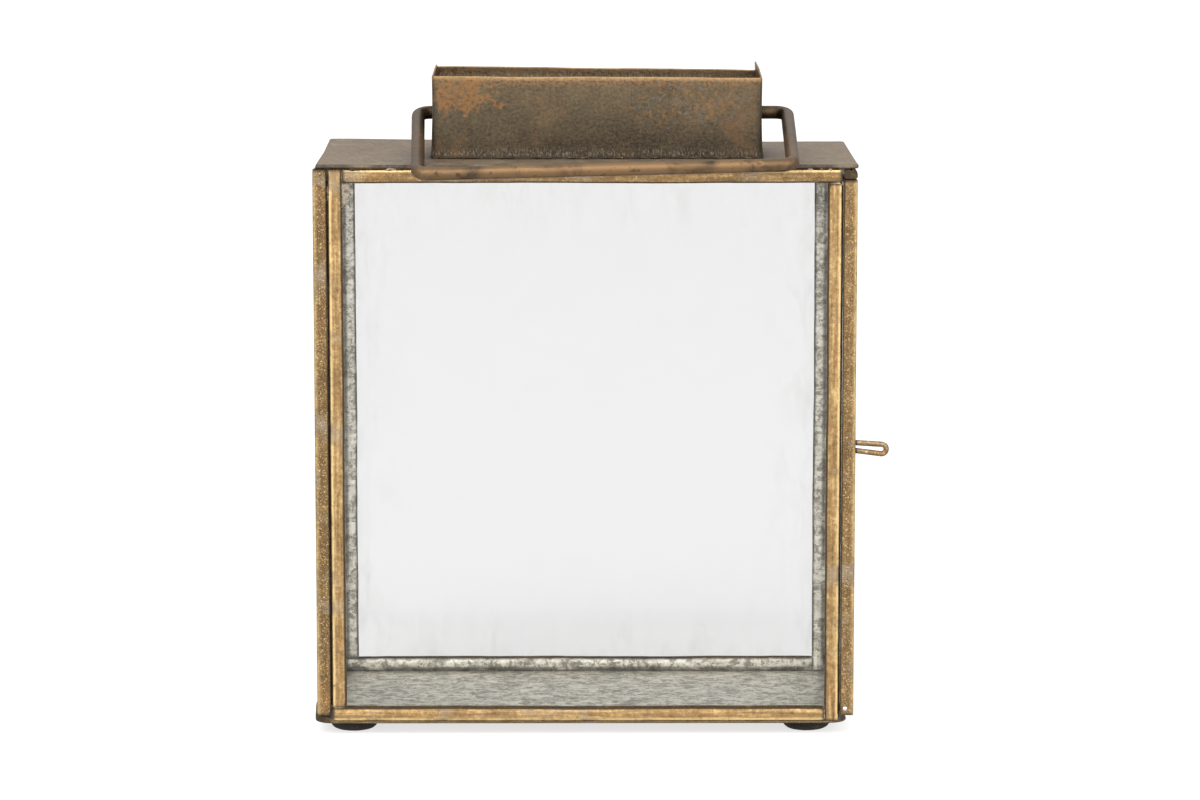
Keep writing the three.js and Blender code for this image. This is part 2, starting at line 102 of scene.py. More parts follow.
class LanternColours(bpy.types.PropertyGroup):
    """Colours of the finishes."""

    # Brass is also the colour of the painted highlight on the chimney's rim.
    brass: colour("Brass", "Golden middle tone of the folded channel", 146, 117, 78)
    # Worn brass is also the colour of the painted highlight along the channels' folds and on the tray's
    # lip.
    brass_light: colour("Worn brass", "Where the channel's folds are rubbed bright", 218, 190, 136)
    brass_dark: colour("Bronze", "Where the channel has darkened", 70, 54, 38)
    brass_red: colour("Heat stain", "Orange-brown stains near the solder", 127, 91, 57)
    haze: colour("Haze", "Grey-beige film left by solder flux", 142, 132, 116)
    # Grime is also the colour of painted shade within the channels' hollows and on the tray's lip, and of
    # the painted shadow at the handle's ends.
    grime_and_shade: colour("Grime", "Dirt packed against the glass and in the seams", 44, 34, 22)
    plate: colour("Plate", "Dull taupe of the top plate", 110, 96, 79)
    chimney: colour("Chimney", "Dark olive patina of the chimney", 73, 62, 45)
    # Chimney, dark is also the colour of the painted shade on the chimney's ends.
    chimney_dark: colour("Chimney, dark", "Darkest patina of the chimney", 42, 34, 24)
    rust: colour("Rust bloom", "Orange bloom on the chimney", 128, 88, 49)
    verdigris: colour("Verdigris", "Blue-grey flecks on the chimney", 88, 90, 88)
    wire: colour("Wire", "Brown patina of the handle", 72, 58, 42)
    wire_worn: colour("Wire, worn", "Where hands have rubbed the handle", 115, 89, 61)
    zinc: colour("Zinc", "Middle grey of the galvanised sheet", 184, 180, 166)
    zinc_light: colour("Zinc flake", "Bright flakes of the galvanised sheet", 222, 218, 206)
    zinc_dark: colour("Zinc, dull", "Dull flakes of the galvanised sheet", 112, 106, 94)
    solder: colour("Solder", "Bright solder", 160, 153, 137)
    glass_edge: colour("Glass edge", "Green-grey of the panes' ground edges", 120, 134, 122)
    rubber: colour("Foot", "Near-black of the feet", 27, 24, 20)
    floor: colour("Floor", "Pale studio floor", 142, 142, 142)


def sizes():
    return bpy.context.scene.lantern_sizes


def colours():
    return bpy.context.scene.lantern_colours


# ---------------------------------------------------------------- where things are


def box(node):
    """Lowest and highest corner of a frame node as arrays."""
    low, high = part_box(node)
    return np.array(low), np.array(high)


def body_of(node):
    """Name of the body that a frame node belongs to."""
    return next(b for b, nodes in frame["record"]["behaviour"]["bodies"].items() if node in nodes)


def joint(name):
    return next(j for j in frame["joints"] if j["name"] == name)


# ---------------------------------------------------------------- hand-made irregularity


def wander(distance, seed, longest=0.12, size=1.0):
    """Smooth noise along a line: five sines, each half as long and half as high as the one before, with
    seeded phases, so the sum stays within about one size."""
    phases = np.random.default_rng(seed).uniform(0, 2 * np.pi, 5)
    octaves = np.arange(5)
    waves = np.sin(2 * np.pi * np.multiply.outer(distance, 2.0**octaves) / longest + phases)
    return size * (waves * 0.5 ** (octaves + 1)).sum(-1)


def quilt(a, b, seed, longest=0.08, size=1.0):
    """Smooth noise over a surface: four plane sine waves crossing at seeded angles."""
    rng = np.random.default_rng(seed)
    turns, phases = rng.uniform(0, np.pi, 4), rng.uniform(0, 2 * np.pi, 4)
    total = 0.0
    for k, (turn, phase) in enumerate(zip(turns, phases)):
        along = a * np.cos(turn) + b * np.sin(turn)
        total = total + 0.5**k * np.sin(2 * np.pi * along * 1.6**k / longest + phase)
    return size * total / 1.875


def step(value, low, high):
    """0 below low, 1 above high, and a smooth cubic between."""
    t = np.clip((value - low) / (high - low), 0, 1)
    return t * t * (3 - 2 * t)


# ---------------------------------------------------------------- meshes from grids


def grid_faces(rows, columns, wrap_rows=False, wrap_columns=True):
    """Corner indices of the quads between neighbouring rows and columns of a grid of points."""
    index = np.arange(rows * columns).reshape(rows, columns)
    if wrap_rows:
        index = np.vstack([index, index[:1]])
    if wrap_columns:
        index = np.hstack([index, index[:, :1]])
    corners = [index[:-1, :-1], index[:-1, 1:], index[1:, 1:], index[1:, :-1]]
    return np.stack([c.ravel() for c in corners], 1)


def piece(name, points, materials, body, replaces=(), wrap_rows=False, caps=True, uv=None, marks=None,
          slots_of=None, sharp=35.0):
    """A closed mesh from a grid of points, whose columns go round it. Rows either wrap round too, or end in
    two flat caps. uv holds metres along and around; marks are numbers stored on the points; slots_of gives
    each column's material."""
    rows, columns = points.shape[:2]
    vertices = points.reshape(-1, 3)
    quads = grid_faces(rows, columns, wrap_rows)
    faces = quads.tolist()
    if caps and not wrap_rows:
        faces += [list(range(columns))[::-1], list(range((rows - 1) * columns, rows * columns))]
    centre = vertices.mean(0)
    a, b, c, d = (vertices[quads[:, k]] - centre for k in range(4))
    volume = (np.einsum("ij,ij->i", a, np.cross(b, c)) + np.einsum("ij,ij->i", a, np.cross(c, d))).sum()
    if volume < 0:
        faces = [face[::-1] for face in faces]
    mesh = bpy.data.meshes.new(name)
    mesh.from_pydata(vertices.tolist(), [], faces)
    for material in materials:
        mesh.materials.append(material)
    if slots_of is not None:
        capped = np.zeros(len(faces) - len(quads))
        per_face = np.concatenate([np.tile(slots_of, len(quads) // columns), capped])
        mesh.polygons.foreach_set("material_index", per_face.astype(np.int32))
    if uv is not None:
        corner = np.zeros(len(mesh.loops), np.int32)
        mesh.loops.foreach_get("vertex_index", corner)
        layer = mesh.uv_layers.new(name="flow")
        layer.data.foreach_set("uv", uv.reshape(-1, 2)[corner].astype(np.float32).ravel())
    for label, values in (marks or {}).items():
        mark = mesh.attributes.new(label, "FLOAT", "POINT")
        mark.data.foreach_set("value", np.ascontiguousarray(values, np.float32).ravel())
    mesh.shade_smooth()
    mesh.set_sharp_from_angle(angle=math.radians(sharp))
    mesh.update()
    made = bpy.data.objects.new(name, mesh)
    bpy.context.scene.collection.objects.link(made)
    settle(made, body, replaces)
    return made


def settle(made, body, replaces=()):
    """Hands a finished piece to the frame."""
    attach(made, body)
    if replaces:
        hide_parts(*replaces)


def around(points):
    """Distance along each row of a closed loop of points, starting from nought."""
    steps = np.linalg.norm(np.diff(points, axis=-2), axis=-1)
    return np.concatenate([np.zeros_like(steps[..., :1]), np.cumsum(steps, -1)], -1)


def arc(centre, radius, start, end, count):
    """Points on an arc of a circle in a plane; angles in degrees, both ends included."""
    angle = np.radians(np.linspace(start, end, count))
    return np.stack([centre[0] + radius * np.cos(angle), centre[1] + radius * np.sin(angle)], 1)


def turned(radius, height, sides):
    """Rings of a profile turned about the upright axis. radius and height are columns with a row for each
    ring, and radius may also vary round the ring."""
    angle = np.linspace(0, 2 * np.pi, sides, endpoint=False)
    x, y = radius * np.cos(angle), radius * np.sin(angle)
    return np.stack([x, y, height + 0 * x], -1)


def unrolled(along, across):
    """Flow coordinates of a grid: metres along its rows and metres across them."""
    return np.stack(np.meshgrid(along, across, indexing="ij"), -1)


def run(start, end, count):
    """Points on a straight line, with the last one left out."""
    return np.linspace(start, end, count, endpoint=False)


# ---------------------------------------------------------------- node materials


class Nodes:
    """Short calls that add nodes to a node tree."""

    def __init__(self, tree):
        self.tree = tree

    def node(self, kind, inputs=(), output=0, **settings):
        """Adds a node, sets it up, feeds its inputs and returns one of its outputs."""
        made = self.tree.nodes.new("ShaderNode" + kind)
        for name, value in settings.items():
            setattr(made, name, value)
        for socket, value in dict(inputs).items():
            self.feed(made.inputs[socket], value)
        return made.outputs[output]

    def feed(self, socket, value):
        """Links a socket to another node's output, or sets it to a value."""
        if isinstance(value, bpy.types.NodeSocket):
            self.tree.links.new(value, socket)
        elif socket.type == "RGBA" and len(value) == 3:
            socket.default_value = (*value, 1.0)
        else:
            socket.default_value = value


class Finish(Nodes):
    """A node material with one Principled shader, and short calls for the patterns that feed it. The
    scale of a pattern is in waves or cells per metre."""

    def __init__(self, name, **constants):
        self.material = bpy.data.materials.new(name)
        self.material.use_nodes = True
        super().__init__(self.material.node_tree)
        self.shader = self.tree.nodes["Principled BSDF"]
        for socket, value in constants.items():
            self.shader.inputs[socket.replace("_", " ")].default_value = value

    def place(self, scale=(1, 1, 1), centre=(0, 0, 0), turn=(0, 0, 0)):
        """Object coordinates about a centre, scaled per axis."""
        coordinates = self.node("TexCoord", output="Object")
        shifted = self.node("VectorMath", {0: coordinates, 1: centre}, operation="SUBTRACT")
        return self.node("Mapping", {"Vector": shifted, "Scale": scale, "Rotation": turn})

    def reach(self, scale, centre):
        """Distance from a centre, with each axis scaled."""
        return self.node("VectorMath", {0: self.place(scale, centre)}, output="Value", operation="LENGTH")

    def flow(self, scale=(1, 1, 1)):
        """Metres along and around the piece, scaled per axis."""
        return self.node("Mapping", {"Vector": self.node("UVMap", uv_map="flow"), "Scale": scale})

    def noise(self, vector, scale, detail=4.0, rough=0.55, twist=0.0):
        look = {"Detail": detail, "Roughness": rough, "Distortion": twist}
        return self.node("TexNoise", {"Vector": vector, "Scale": scale, **look})

    def strong(self, *parts):
        """Noises stretched to the full range, then added up; each part is (noise, share)."""
        total = None
        for value, share in parts:
            middle = {"Value": value, "From Min": 0.3, "From Max": 0.7, "To Max": share}
            term = self.node("MapRange", middle, clamp=False)
            total = term if total is None else self.calc("ADD", total, term)
        return total

    def cells(self, vector, scale, smooth=0.3):
        """Flakes of one random tone each."""
        inputs = {"Vector": vector, "Scale": scale, "Smoothness": smooth, "Randomness": 1.0}
        return self.node("TexVoronoi", inputs, output="Color", feature="SMOOTH_F1")

    def mark(self, name):
        return self.node("Attribute", attribute_name=name, output="Fac")

    def mask(self, value, low, high, top=1.0):
        """0 below low, top above high, smooth between."""
        inputs = {"Value": value, "From Min": low, "From Max": high, "To Max": top}
        return self.node("MapRange", inputs, interpolation_type="SMOOTHSTEP")

    def spread(self, value, low, high):
        """The middle of a noise stretched to run from low to high."""
        middle = {"Value": value, "From Min": 0.3, "From Max": 0.7}
        return self.node("MapRange", {**middle, "To Min": low, "To Max": high})

    def calc(self, operation, a, b=0.0, clamp=False):
        return self.node("Math", {0: a, 1: b}, operation=operation, use_clamp=clamp)

    def times(self, *values):
        product = values[0]
        for value in values[1:]:
            product = self.calc("MULTIPLY", product, value)
        return product

    def ramp(self, value, *stops):
        """Colour from stops of (position, colour)."""
        made = self.tree.nodes.new("ShaderNodeValToRGB")
        elements = made.color_ramp.elements
        while len(elements) < len(stops):
            elements.new(0.5)
        for element, (position, tone) in zip(elements, stops):
            element.position = position
            element.color = (*tone, 1.0)
        self.feed(made.inputs[0], value)
        return made.outputs[0]

    def blend(self, amount, under, over):
        made = self.tree.nodes.new("ShaderNodeMix")
        made.data_type = "RGBA"
        self.feed(made.inputs["Factor"], amount)
        self.feed(made.inputs[6], under)
        self.feed(made.inputs[7], over)
        return made.outputs[2]

    def layers(self, under, *coats):
        """Colours laid over one another, each coat an (amount, colour) pair."""
        for amount, over in coats:
            under = self.blend(amount, under, over)
        return under

    def relief(self, *heights):
        """Stacked bumps, each a (height, depth in metres) pair."""
        normal = None
        for height, depth in heights:
            inputs = {"Height": height, "Distance": depth, "Strength": 1.0}
            if normal:
                inputs["Normal"] = normal
            normal = self.node("Bump", inputs)
        self.feed(self.shader.inputs["Normal"], normal)

    def finish(self, base, roughness):
        self.feed(self.shader.inputs["Base Color"], base)
        self.feed(self.shader.inputs["Roughness"], roughness)
        return self.material


def kept(make):
    """Makes each finish once and hands out the same one after that."""
    made = {}

    def get(*key):
        if key not in made:
            made[key] = make(*key)
        return made[key]

    return get


@kept
def channel_brass(age=0.35):
    """Folded channel: golden, streaked along its length, hazed by flux, rubbed bright on the folds, where a
    painted highlight also lights them, and darkened where dirty and, in its hollows, by painted shade. The
    older it is, the darker and rougher."""
    c = colours()
    f = Finish(f"channel_brass_{round(age * 100)}", Specular_IOR_Level=0.2)
    streak = f.noise(f.flow((60, 900, 1)), 1.0, 4, 0.6)
    cloud = f.noise(f.place(), 120, 6, 0.62, 0.3)
    patch = f.noise(f.place(centre=(0.31, 0.17, 0.05)), 46, 6, 0.7, 0.6)
    grain = f.noise(f.place(centre=(0.2, 0.4, 0.6)), 780, 4, 0.8)
    pits = f.noise(f.place(centre=(0.7, 0.1, 0.3)), 640, 4, 0.8)
    sand = f.noise(f.place(centre=(0.9, 0.3, 0.7)), 1900, 2, 0.6)
    tone = f.strong((streak, 0.38 - 0.2 * age), (cloud, 0.24), (grain, 0.38 - 0.1 * age), (sand, 0.3 * age))
    middle = [b + (d - b) * 0.72 * age for b, d in zip(c.brass, c.brass_dark)]
    light = [w + (b - w) * 0.9 * age for w, b in zip(c.brass_light, c.brass)]
    base = f.ramp(tone, (0.1, c.brass_dark), (0.52, middle), (0.98, light))
    # Darkening from the grime mark: dirt, and painted shade within the channels' hollows and on the tray's
    # lip.
    dirt_and_shade = f.mask(f.times(f.mark("grime_and_shade"), f.mask(cloud, 0.2, 0.42)), 0.15, 0.8, 0.92)
    # Along the folds: wear, together with a painted highlight that stands in for the light the rounded
    # folds catch.
    rubbed = f.times(f.mark("wear_and_highlight"), f.mask(patch, 0.66, 0.46), f.mask(grain, 0.25, 0.5), 0.95 - 0.6 * age)
    base = f.layers(
        base,
        (f.mask(patch, 0.52, 0.66, 0.5), c.haze),
        (f.times(f.mask(patch, 0.46, 0.36), f.mask(cloud, 0.46, 0.6), 0.7), c.brass_red),
        (rubbed, c.brass_light),
        (f.mask(pits, 0.6, 0.72, 0.5), c.brass_dark),
        (f.mask(pits, 0.42, 0.34, 0.25), c.brass_light),
        (f.mask(sand, 0.58, 0.68, 0.6 * age), c.brass_light),
        (dirt_and_shade, c.grime_and_shade),
    )
    f.feed(f.shader.inputs["Metallic"], f.times(f.calc("SUBTRACT", 1.0, dirt_and_shade), 0.88))
    rough = f.calc("ADD", f.spread(cloud, 0.3, 0.48), f.times(dirt_and_shade, 0.5), clamp=True)
    f.relief((streak, 0.00012), (grain, 0.00012 + 0.0001 * age), (f.mask(pits, 0.72, 0.6), 0.00006))
    return f.finish(base, rough)


@kept
def zinc():
    """Galvanised sheet: flakes of bright and dull zinc, streaked, with a few darker stains."""
    c = colours()
    f = Finish("galvanised_zinc", Metallic=0.68)
    warp = f.noise(f.place(), 90, 3, 0.6)
    flake = f.node("SeparateColor", {0: f.cells(f.place(turn=(0.3, 0.2, 0.4)), 330, 0.15)})
    fine = f.noise(f.place(), 520, 5, 0.75, 1.2)
    long = f.noise(f.place(scale=(0.35, 1.2, 1)), 420, 4, 0.7, 0.8)
    stain = f.noise(f.place(centre=(0.4, 0.2, 0.9)), 40, 5, 0.65, 0.5)
    vein = f.mask(f.noise(f.place(scale=(1, 1, 0.6)), 300, 3, 0.6, 1.5), 0.47, 0.5)
    tone = f.calc("ADD", f.strong((fine, 0.45), (long, 0.35)), f.times(flake, 0.2))
    base = f.ramp(tone, (0.12, c.zinc_dark), (0.44, c.zinc), (0.7, c.zinc_light))
    base = f.blend(f.times(vein, f.mask(tone, 0.6, 0.4, 0.7)), base, c.zinc_dark)
    base = f.layers(
        base,
        (f.mask(stain, 0.52, 0.7, 0.22), c.zinc_dark),
        # Darkening from the grime mark: dirt, and painted shade on the tray's lip.
        (f.times(f.mark("grime_and_shade"), f.mask(warp, 0.2, 0.48), 0.85), c.grime_and_shade),
    )
    f.relief((flake, 0.00004), (fine, 0.0001))
    return f.finish(base, f.spread(tone, 0.5, 0.32))


@kept
def plate_brass():
    """Top plate: dull taupe with soft clouds and faint scratches, darker round the chimney's foot."""
    c = colours()
    f = Finish("plate_brass", Metallic=0.55)
    cloud = f.noise(f.place(), 130, 6, 0.68, 0.5)
    scratch = f.noise(f.place(scale=(1, 0.3, 1)), 620, 4, 0.75)
    grain = f.noise(f.place(), 1100, 3, 0.7)
    tone = f.strong((cloud, 0.42), (scratch, 0.3), (grain, 0.2))
    base = f.ramp(tone, (0.0, c.chimney), (0.5, c.plate), (1.0, c.haze))
    base = f.layers(
        base,
        (f.mask(f.noise(f.place(centre=(1, 2, 3)), 300, 3), 0.62, 0.7, 0.6), c.chimney),
        (f.times(f.mark("wear_and_highlight"), f.mask(grain, 0.45, 0.6, 0.6)), c.brass),
        (f.times(f.mark("grime_and_shade"), f.spread(grain, 0.5, 1.1)), c.chimney_dark),
    )
    f.relief((scratch, 0.00004), (cloud, 0.00014), (grain, 0.00005))
    return f.finish(base, f.spread(cloud, 0.5, 0.68))


@kept
def chimney_brass():
    """Chimney: dark olive patina, flecked all over, with a rust bloom at the top left, orange and blue-grey
    flecks over the right half, a golden rim that is rubbed and carries a painted highlight, and a pale band
    of fine strokes near the foot. Painted light makes it lighter towards the top; painted shade darkens its
    ends."""
    c = colours()
    low, high = box("chimney_wrap")
    middle = (low + high) / 2
    f = Finish("chimney_brass", Metallic=0.7)
    cloud = f.noise(f.place(), 48, 6, 0.62, 0.5)
    fleck = f.noise(f.place(scale=(0.8, 1, 1)), 1000, 4, 0.75)
    stroke = f.noise(f.place(scale=(1, 1, 0.35)), 1900, 3, 0.7)
    height = f.node("SeparateXYZ", {0: f.place(centre=tuple(low))}, output="Z")
    mottle = f.strong((cloud, 0.35), (fleck, 0.5), (stroke, 0.15))
    # Lighter towards the top and darker towards the foot: painted light, a gradient standing in for how the
    # light falls on the chimney.
    tone = f.calc("ADD", mottle, f.mask(height, 0.002, 0.024, 0.34))
    base = f.ramp(tone, (0.3, c.chimney_dark), (0.7, c.chimney), (1.05, [1.6 * v for v in c.chimney]))
    bloom_at = (low[0] + 0.012, low[1], high[2] - 0.006)
    ragged = f.calc("SUBTRACT", f.noise(f.place(), 230, 5, 0.7), 0.5)
    bloom = f.calc("ADD", f.reach((0.8, 1, 1.1), bloom_at), f.times(ragged, 0.06))
    flecks_at = (high[0] - 0.026, low[1], high[2] - 0.007)
    coarse = f.noise(f.place(centre=(3, 1, 2)), 640, 4, 0.75)
    spray = f.times(f.mask(f.reach((0.5, 0.4, 1.0), flecks_at), 0.016, 0.004), f.mask(coarse, 0.5, 0.6))
    blue = f.mask(f.noise(f.place(centre=(5, 1, 4)), 420, 3), 0.49, 0.53)
    foot = f.times(f.mask(height, 0.0045, 0.0012), f.mask(stroke, 0.5, 0.64, 0.38))
    rim = f.times(f.mask(height, 0.0225, 0.0262, 0.6), f.mask(fleck, 0.4, 0.6))
    # Darker over the end walls and towards them: painted shade on the faces that turn away from the light.
    across = f.node("SeparateXYZ", {0: f.place(centre=tuple(middle))}, output="X")
    side = f.mask(f.calc("ABSOLUTE", across), (high[0] - low[0]) / 2 - 0.0035, (high[0] - low[0]) / 2, 0.6)
    base = f.layers(
        base,
        (f.mask(f.noise(f.place(centre=(7, 3, 2)), 60, 6, 0.7), 0.52, 0.68, 0.22), c.brass_red),
        # Painted shade on the ends.
        (side, c.chimney_dark),
        (rim, c.brass_red),
        (f.times(f.mask(bloom, 0.008, 0.002), f.mask(fleck, 0.3, 0.56, 0.65)), c.rust),
        (f.times(spray, 0.5), f.blend(blue, c.rust, c.verdigris)),
        (foot, c.haze),
        # Golden rim: wear, together with a painted highlight along the top edge.
        (f.times(f.mark("wear_and_highlight"), f.spread(fleck, 0.4, 1.0)), c.brass),
        (f.times(f.mark("flux"), f.mask(stroke, 0.5, 0.64, 0.5)), c.haze),
        (f.times(f.mark("grime_and_shade"), f.spread(cloud, 0.5, 1.0)), c.grime_and_shade),
    )
    f.relief((cloud, 0.00025), (fleck, 0.00014), (stroke, 0.00006))
    return f.finish(base, f.spread(cloud, 0.42, 0.6))


@kept
def wire_brass():
    """Wire: brown patina with fine pits, rubbed coppery where it is held."""
    c = colours()
    f = Finish("wire_brass", Metallic=0.8)
    cloud = f.noise(f.place(), 70, 5, 0.6, 0.6)
    streak = f.noise(f.flow((60, 500, 1)), 1.0, 4, 0.65)
    grain = f.noise(f.place(), 800, 4, 0.7)
    tone = f.strong((cloud, 0.45), (grain, 0.45), (streak, 0.1))
    base = f.ramp(tone, (0.05, c.chimney_dark), (0.55, c.wire), (1.0, c.wire_worn))
    base = f.layers(
        base,
        (f.times(f.mark("wear_and_highlight"), f.mask(cloud, 0.25, 0.55, 0.85)), c.wire_worn),
        (f.mask(f.noise(f.place(centre=(2, 2, 2)), 420, 3), 0.62, 0.7, 0.6), c.grime_and_shade),
        # Painted shadow where the handle's ends go into the chimney.
        (f.times(f.mark("grime_and_shade"), 0.9), c.grime_and_shade),
    )
    f.relief((cloud, 0.0003), (grain, 0.00012))
    return f.finish(base, f.spread(cloud, 0.34, 0.5))


@kept
def solder(dirty=False):
    """Solder: dull silver, pitted, dirty in its hollows, or where dirty, dark with only bright specks."""
    c = colours()
    f = Finish("solder_dirty" if dirty else "solder", Metallic=0.85)
    grain = f.noise(f.place(), 900, 4, 0.7)
    cloud = f.noise(f.place(), 160, 4, 0.6)
    base = f.ramp(f.calc("ADD", f.times(grain, 0.5), f.times(cloud, 0.5)),
                  *(((0.5, c.grime_and_shade), (0.58, c.chimney), (0.7, c.solder)) if dirty else
                    ((0.36, c.grime_and_shade), (0.47, c.zinc_dark), (0.58, c.solder))))
    f.relief((grain, 0.0002), (cloud, 0.0004))
    return f.finish(base, f.spread(grain, 0.28, 0.5))


@kept
def glass():
    """Pane: mirrors at a slant and shows what is behind it elsewhere, with a film of dust, smears near the
    edges and ground green-grey edges."""
    c = colours()
    f = Finish("pane_glass", Metallic=1.0)
    dust = f.noise(f.place(), 60, 5, 0.6, 0.4)
    smear = f.noise(f.place(scale=(1, 1, 0.35)), 150, 4, 0.65, 0.8)
    ripple = f.noise(f.place(scale=(1, 1, 0.4)), 22, 2, 0.4)
    slant = f.calc("POWER", f.node("LayerWeight", {"Blend": 0.5}, output="Facing"), 5.0)
    mirror = f.calc("ADD", f.times(slant, 0.75), 0.035)
    edge = f.mark("edge")
    near = f.mark("near")
    film = f.times(near, f.mask(smear, 0.5, 0.68, 0.04))
    film = f.calc("ADD", film, f.spread(dust, 0.064, 0.068))
    solid = f.calc("ADD", film, f.times(edge, 0.82), clamp=True)
    f.feed(f.shader.inputs["Alpha"], f.calc("ADD", mirror, solid, clamp=True))
    f.relief((ripple, 0.0004))
    base = f.layers((0.14, 0.143, 0.14), (f.mask(film, 0.07, 0.12, 0.8), c.haze), (edge, c.glass_edge))
    return f.finish(base, f.calc("ADD", f.mask(solid, 0.065, 0.4, 0.55), 0.02))


@kept
def residue():
    """Flux and solder residue burnt on to the glass: brown-grey, thin at its edge."""
    c = colours()
    f = Finish("residue", Metallic=0.2)
    cloud = f.noise(f.place(), 420, 4, 0.65)
    base = f.ramp(cloud, (0.35, c.chimney_dark), (0.5, c.haze), (0.65, c.chimney))
    cover = f.times(f.mask(f.mark("edge"), 1.0, 0.75), f.mask(cloud, 0.2, 0.42, 0.92))
    f.feed(f.shader.inputs["Alpha"], cover)
    f.relief((cloud, 0.0003))
    return f.finish(base, f.spread(cloud, 0.6, 0.8))


@kept
def foot_rubber():
    """Foot: near-black, matt, with fine fibres and pale dust."""
    c = colours()
    f = Finish("foot_rubber", Metallic=0.0, Specular_IOR_Level=0.3)
    grain = f.noise(f.place(), 1400, 4, 0.75)
    cloud = f.noise(f.place(), 160, 4, 0.6)
    base = f.ramp(f.calc("ADD", f.times(grain, 0.6), f.times(cloud, 0.4)),
                  (0.4, srgb(18, 16, 13)), (0.55, c.rubber), (0.72, srgb(74, 66, 54)))
    f.relief((grain, 0.0003))
    return f.finish(base, f.spread(grain, 0.7, 0.95))


@kept
def steel():
    """Rivet: bright, lightly brushed."""
    f = Finish("rivet_steel", Metallic=1.0)
    grain = f.noise(f.place(), 2200, 3, 0.7)
    base = f.ramp(grain, (0.4, srgb(170, 166, 156)), (0.6, srgb(236, 234, 228)))
    f.relief((grain, 0.00008))
    return f.finish(base, f.spread(grain, 0.18, 0.34))


# ---------------------------------------------------------------- folded channel

ROW_SPACING = 1.6 * MM
LIP_TURN = 0.3 * MM

# For each side of a panel: the way its channel runs, and the way from its closed edge to the glass.
FACE_SIDES = {
    "bottom": (X, Z),
    "top": (X, -Z),
    "left": (Z, X),
    "right": (Z, -X),
}
END_SIDES = {
    "front": (Z, Y),
    "rear": (Z, -Y),
    "bottom": (Y, Z),
    "top": (Y, -Z),
}


def channel_section(face, half, sheet, fold):
    """The closed outline of a folded channel as (u, v) points, with each point's zone. u runs from the
    closed edge to the glass and v across, from the outside of the panel to its inside. Zones: 0 outside,
    1 closed edge and its outer fold, 2 inside, 3 within the channel."""
    tip = sheet / 2
    mouth = face - tip
    parts = [
        (0, run((mouth, -half), (fold, -half), 7)),
        (1, arc((fold, fold - half), fold, 270, 180, 7)),
        (1, run((0, fold - half), (0, half - fold), 4)[1:]),
        (2, arc((fold, half - fold), fold, 180, 90, 7)),
        (2, run((fold, half), (mouth, half), 7)[1:]),
        (2, arc((mouth, half - tip), tip, 90, 0, 4)),
        (3, arc((mouth, half - tip), tip, 0, -90, 4)[1:]),
        (3, run((mouth, half - sheet), (sheet, half - sheet), 3)[1:]),
        (3, np.array([(sheet, half - sheet), (sheet, sheet - half)])),
        (3, run((sheet, sheet - half), (mouth, sheet - half), 3)[1:]),
        (3, arc((mouth, tip - half), tip, 90, 0, 4)),
        (0, arc((mouth, tip - half), tip, 0, -90, 4)[1:-1]),
    ]
    zones = np.concatenate([np.full(len(points), zone) for zone, points in parts])
    return np.concatenate([points for _, points in parts]), zones


def roughened(section, s, from_end, face, seed):
    """A channel's outline at every row, made uneven: the free edges wander, the faces bulge and sink, the
    lips turn in to the glass, and both ends are eased."""
    size = sizes()
    u, v = (np.tile(part, (len(s), 1)) for part in section.T)
    sides = np.sign(v)
    stray = wander(s, seed, 0.11, size.stray) + wander(s, seed + 1, 0.03, 0.3 * size.stray)
    u = u + (u / face) ** 2 * stray * step(from_end, 0.0, 4 * MM)
    sunk = quilt(s, u, seed + 2, 0.07, size.dent) + wander(s, seed + 3, 0.16, 0.5 * size.dent)
    v = v + sides * (sunk - 0.6 * size.dent) * step(u, 0.2 * MM, 1.6 * MM)
    v = v - sides * LIP_TURN * step(u, face - 1.8 * MM, face)
    return u, v * (0.965 + 0.035 * step(from_end, -0.05 * MM, 0.35 * MM))


def channel_marks(section, zones, from_end, face, thick, lies_flat):
    """Where a channel is rubbed, lit and darkened, as a number at each point. Wear, together with a painted
    highlight, is on the two folds. Darkening is along the lips, at both ends, within the channel, and
    inside by the corner with the next panel; within the channel it is painted shade."""
    u, v = section.T
    brow = 0.3 * sizes().fold
    fold_gap = np.hypot(u - brow, np.abs(v) - (thick / 2 - brow))
    # On the two folds: wear, together with a painted highlight.
    wear_and_highlight = np.where(zones <= 1, 1 - step(fold_gap, 0.3 * MM, 1.0 * MM), 0)
    lips = 1 - step(face - u, 0.1 * MM, 0.9 * MM)
    lap = 2.0 * MM if lies_flat else 3.2 * MM
    corner = np.where(zones == 2, 1 - step(u, 0.5 * lap, lap), 0) * step(u, -0.1 * MM, 0.5 * MM)
    ends = 1 - step(from_end, 0.0, 1.4 * MM)
    grime_and_shade = np.maximum(np.maximum(lips, 0.95 * corner), 0.8 * ends)
    # Within the channel's hollow: painted shade.
    grime_and_shade = np.where(zones == 3, 0.6, grime_and_shade)
    return {"wear_and_highlight": np.tile(wear_and_highlight, (len(from_end), 1)), "grime_and_shade": grime_and_shade}


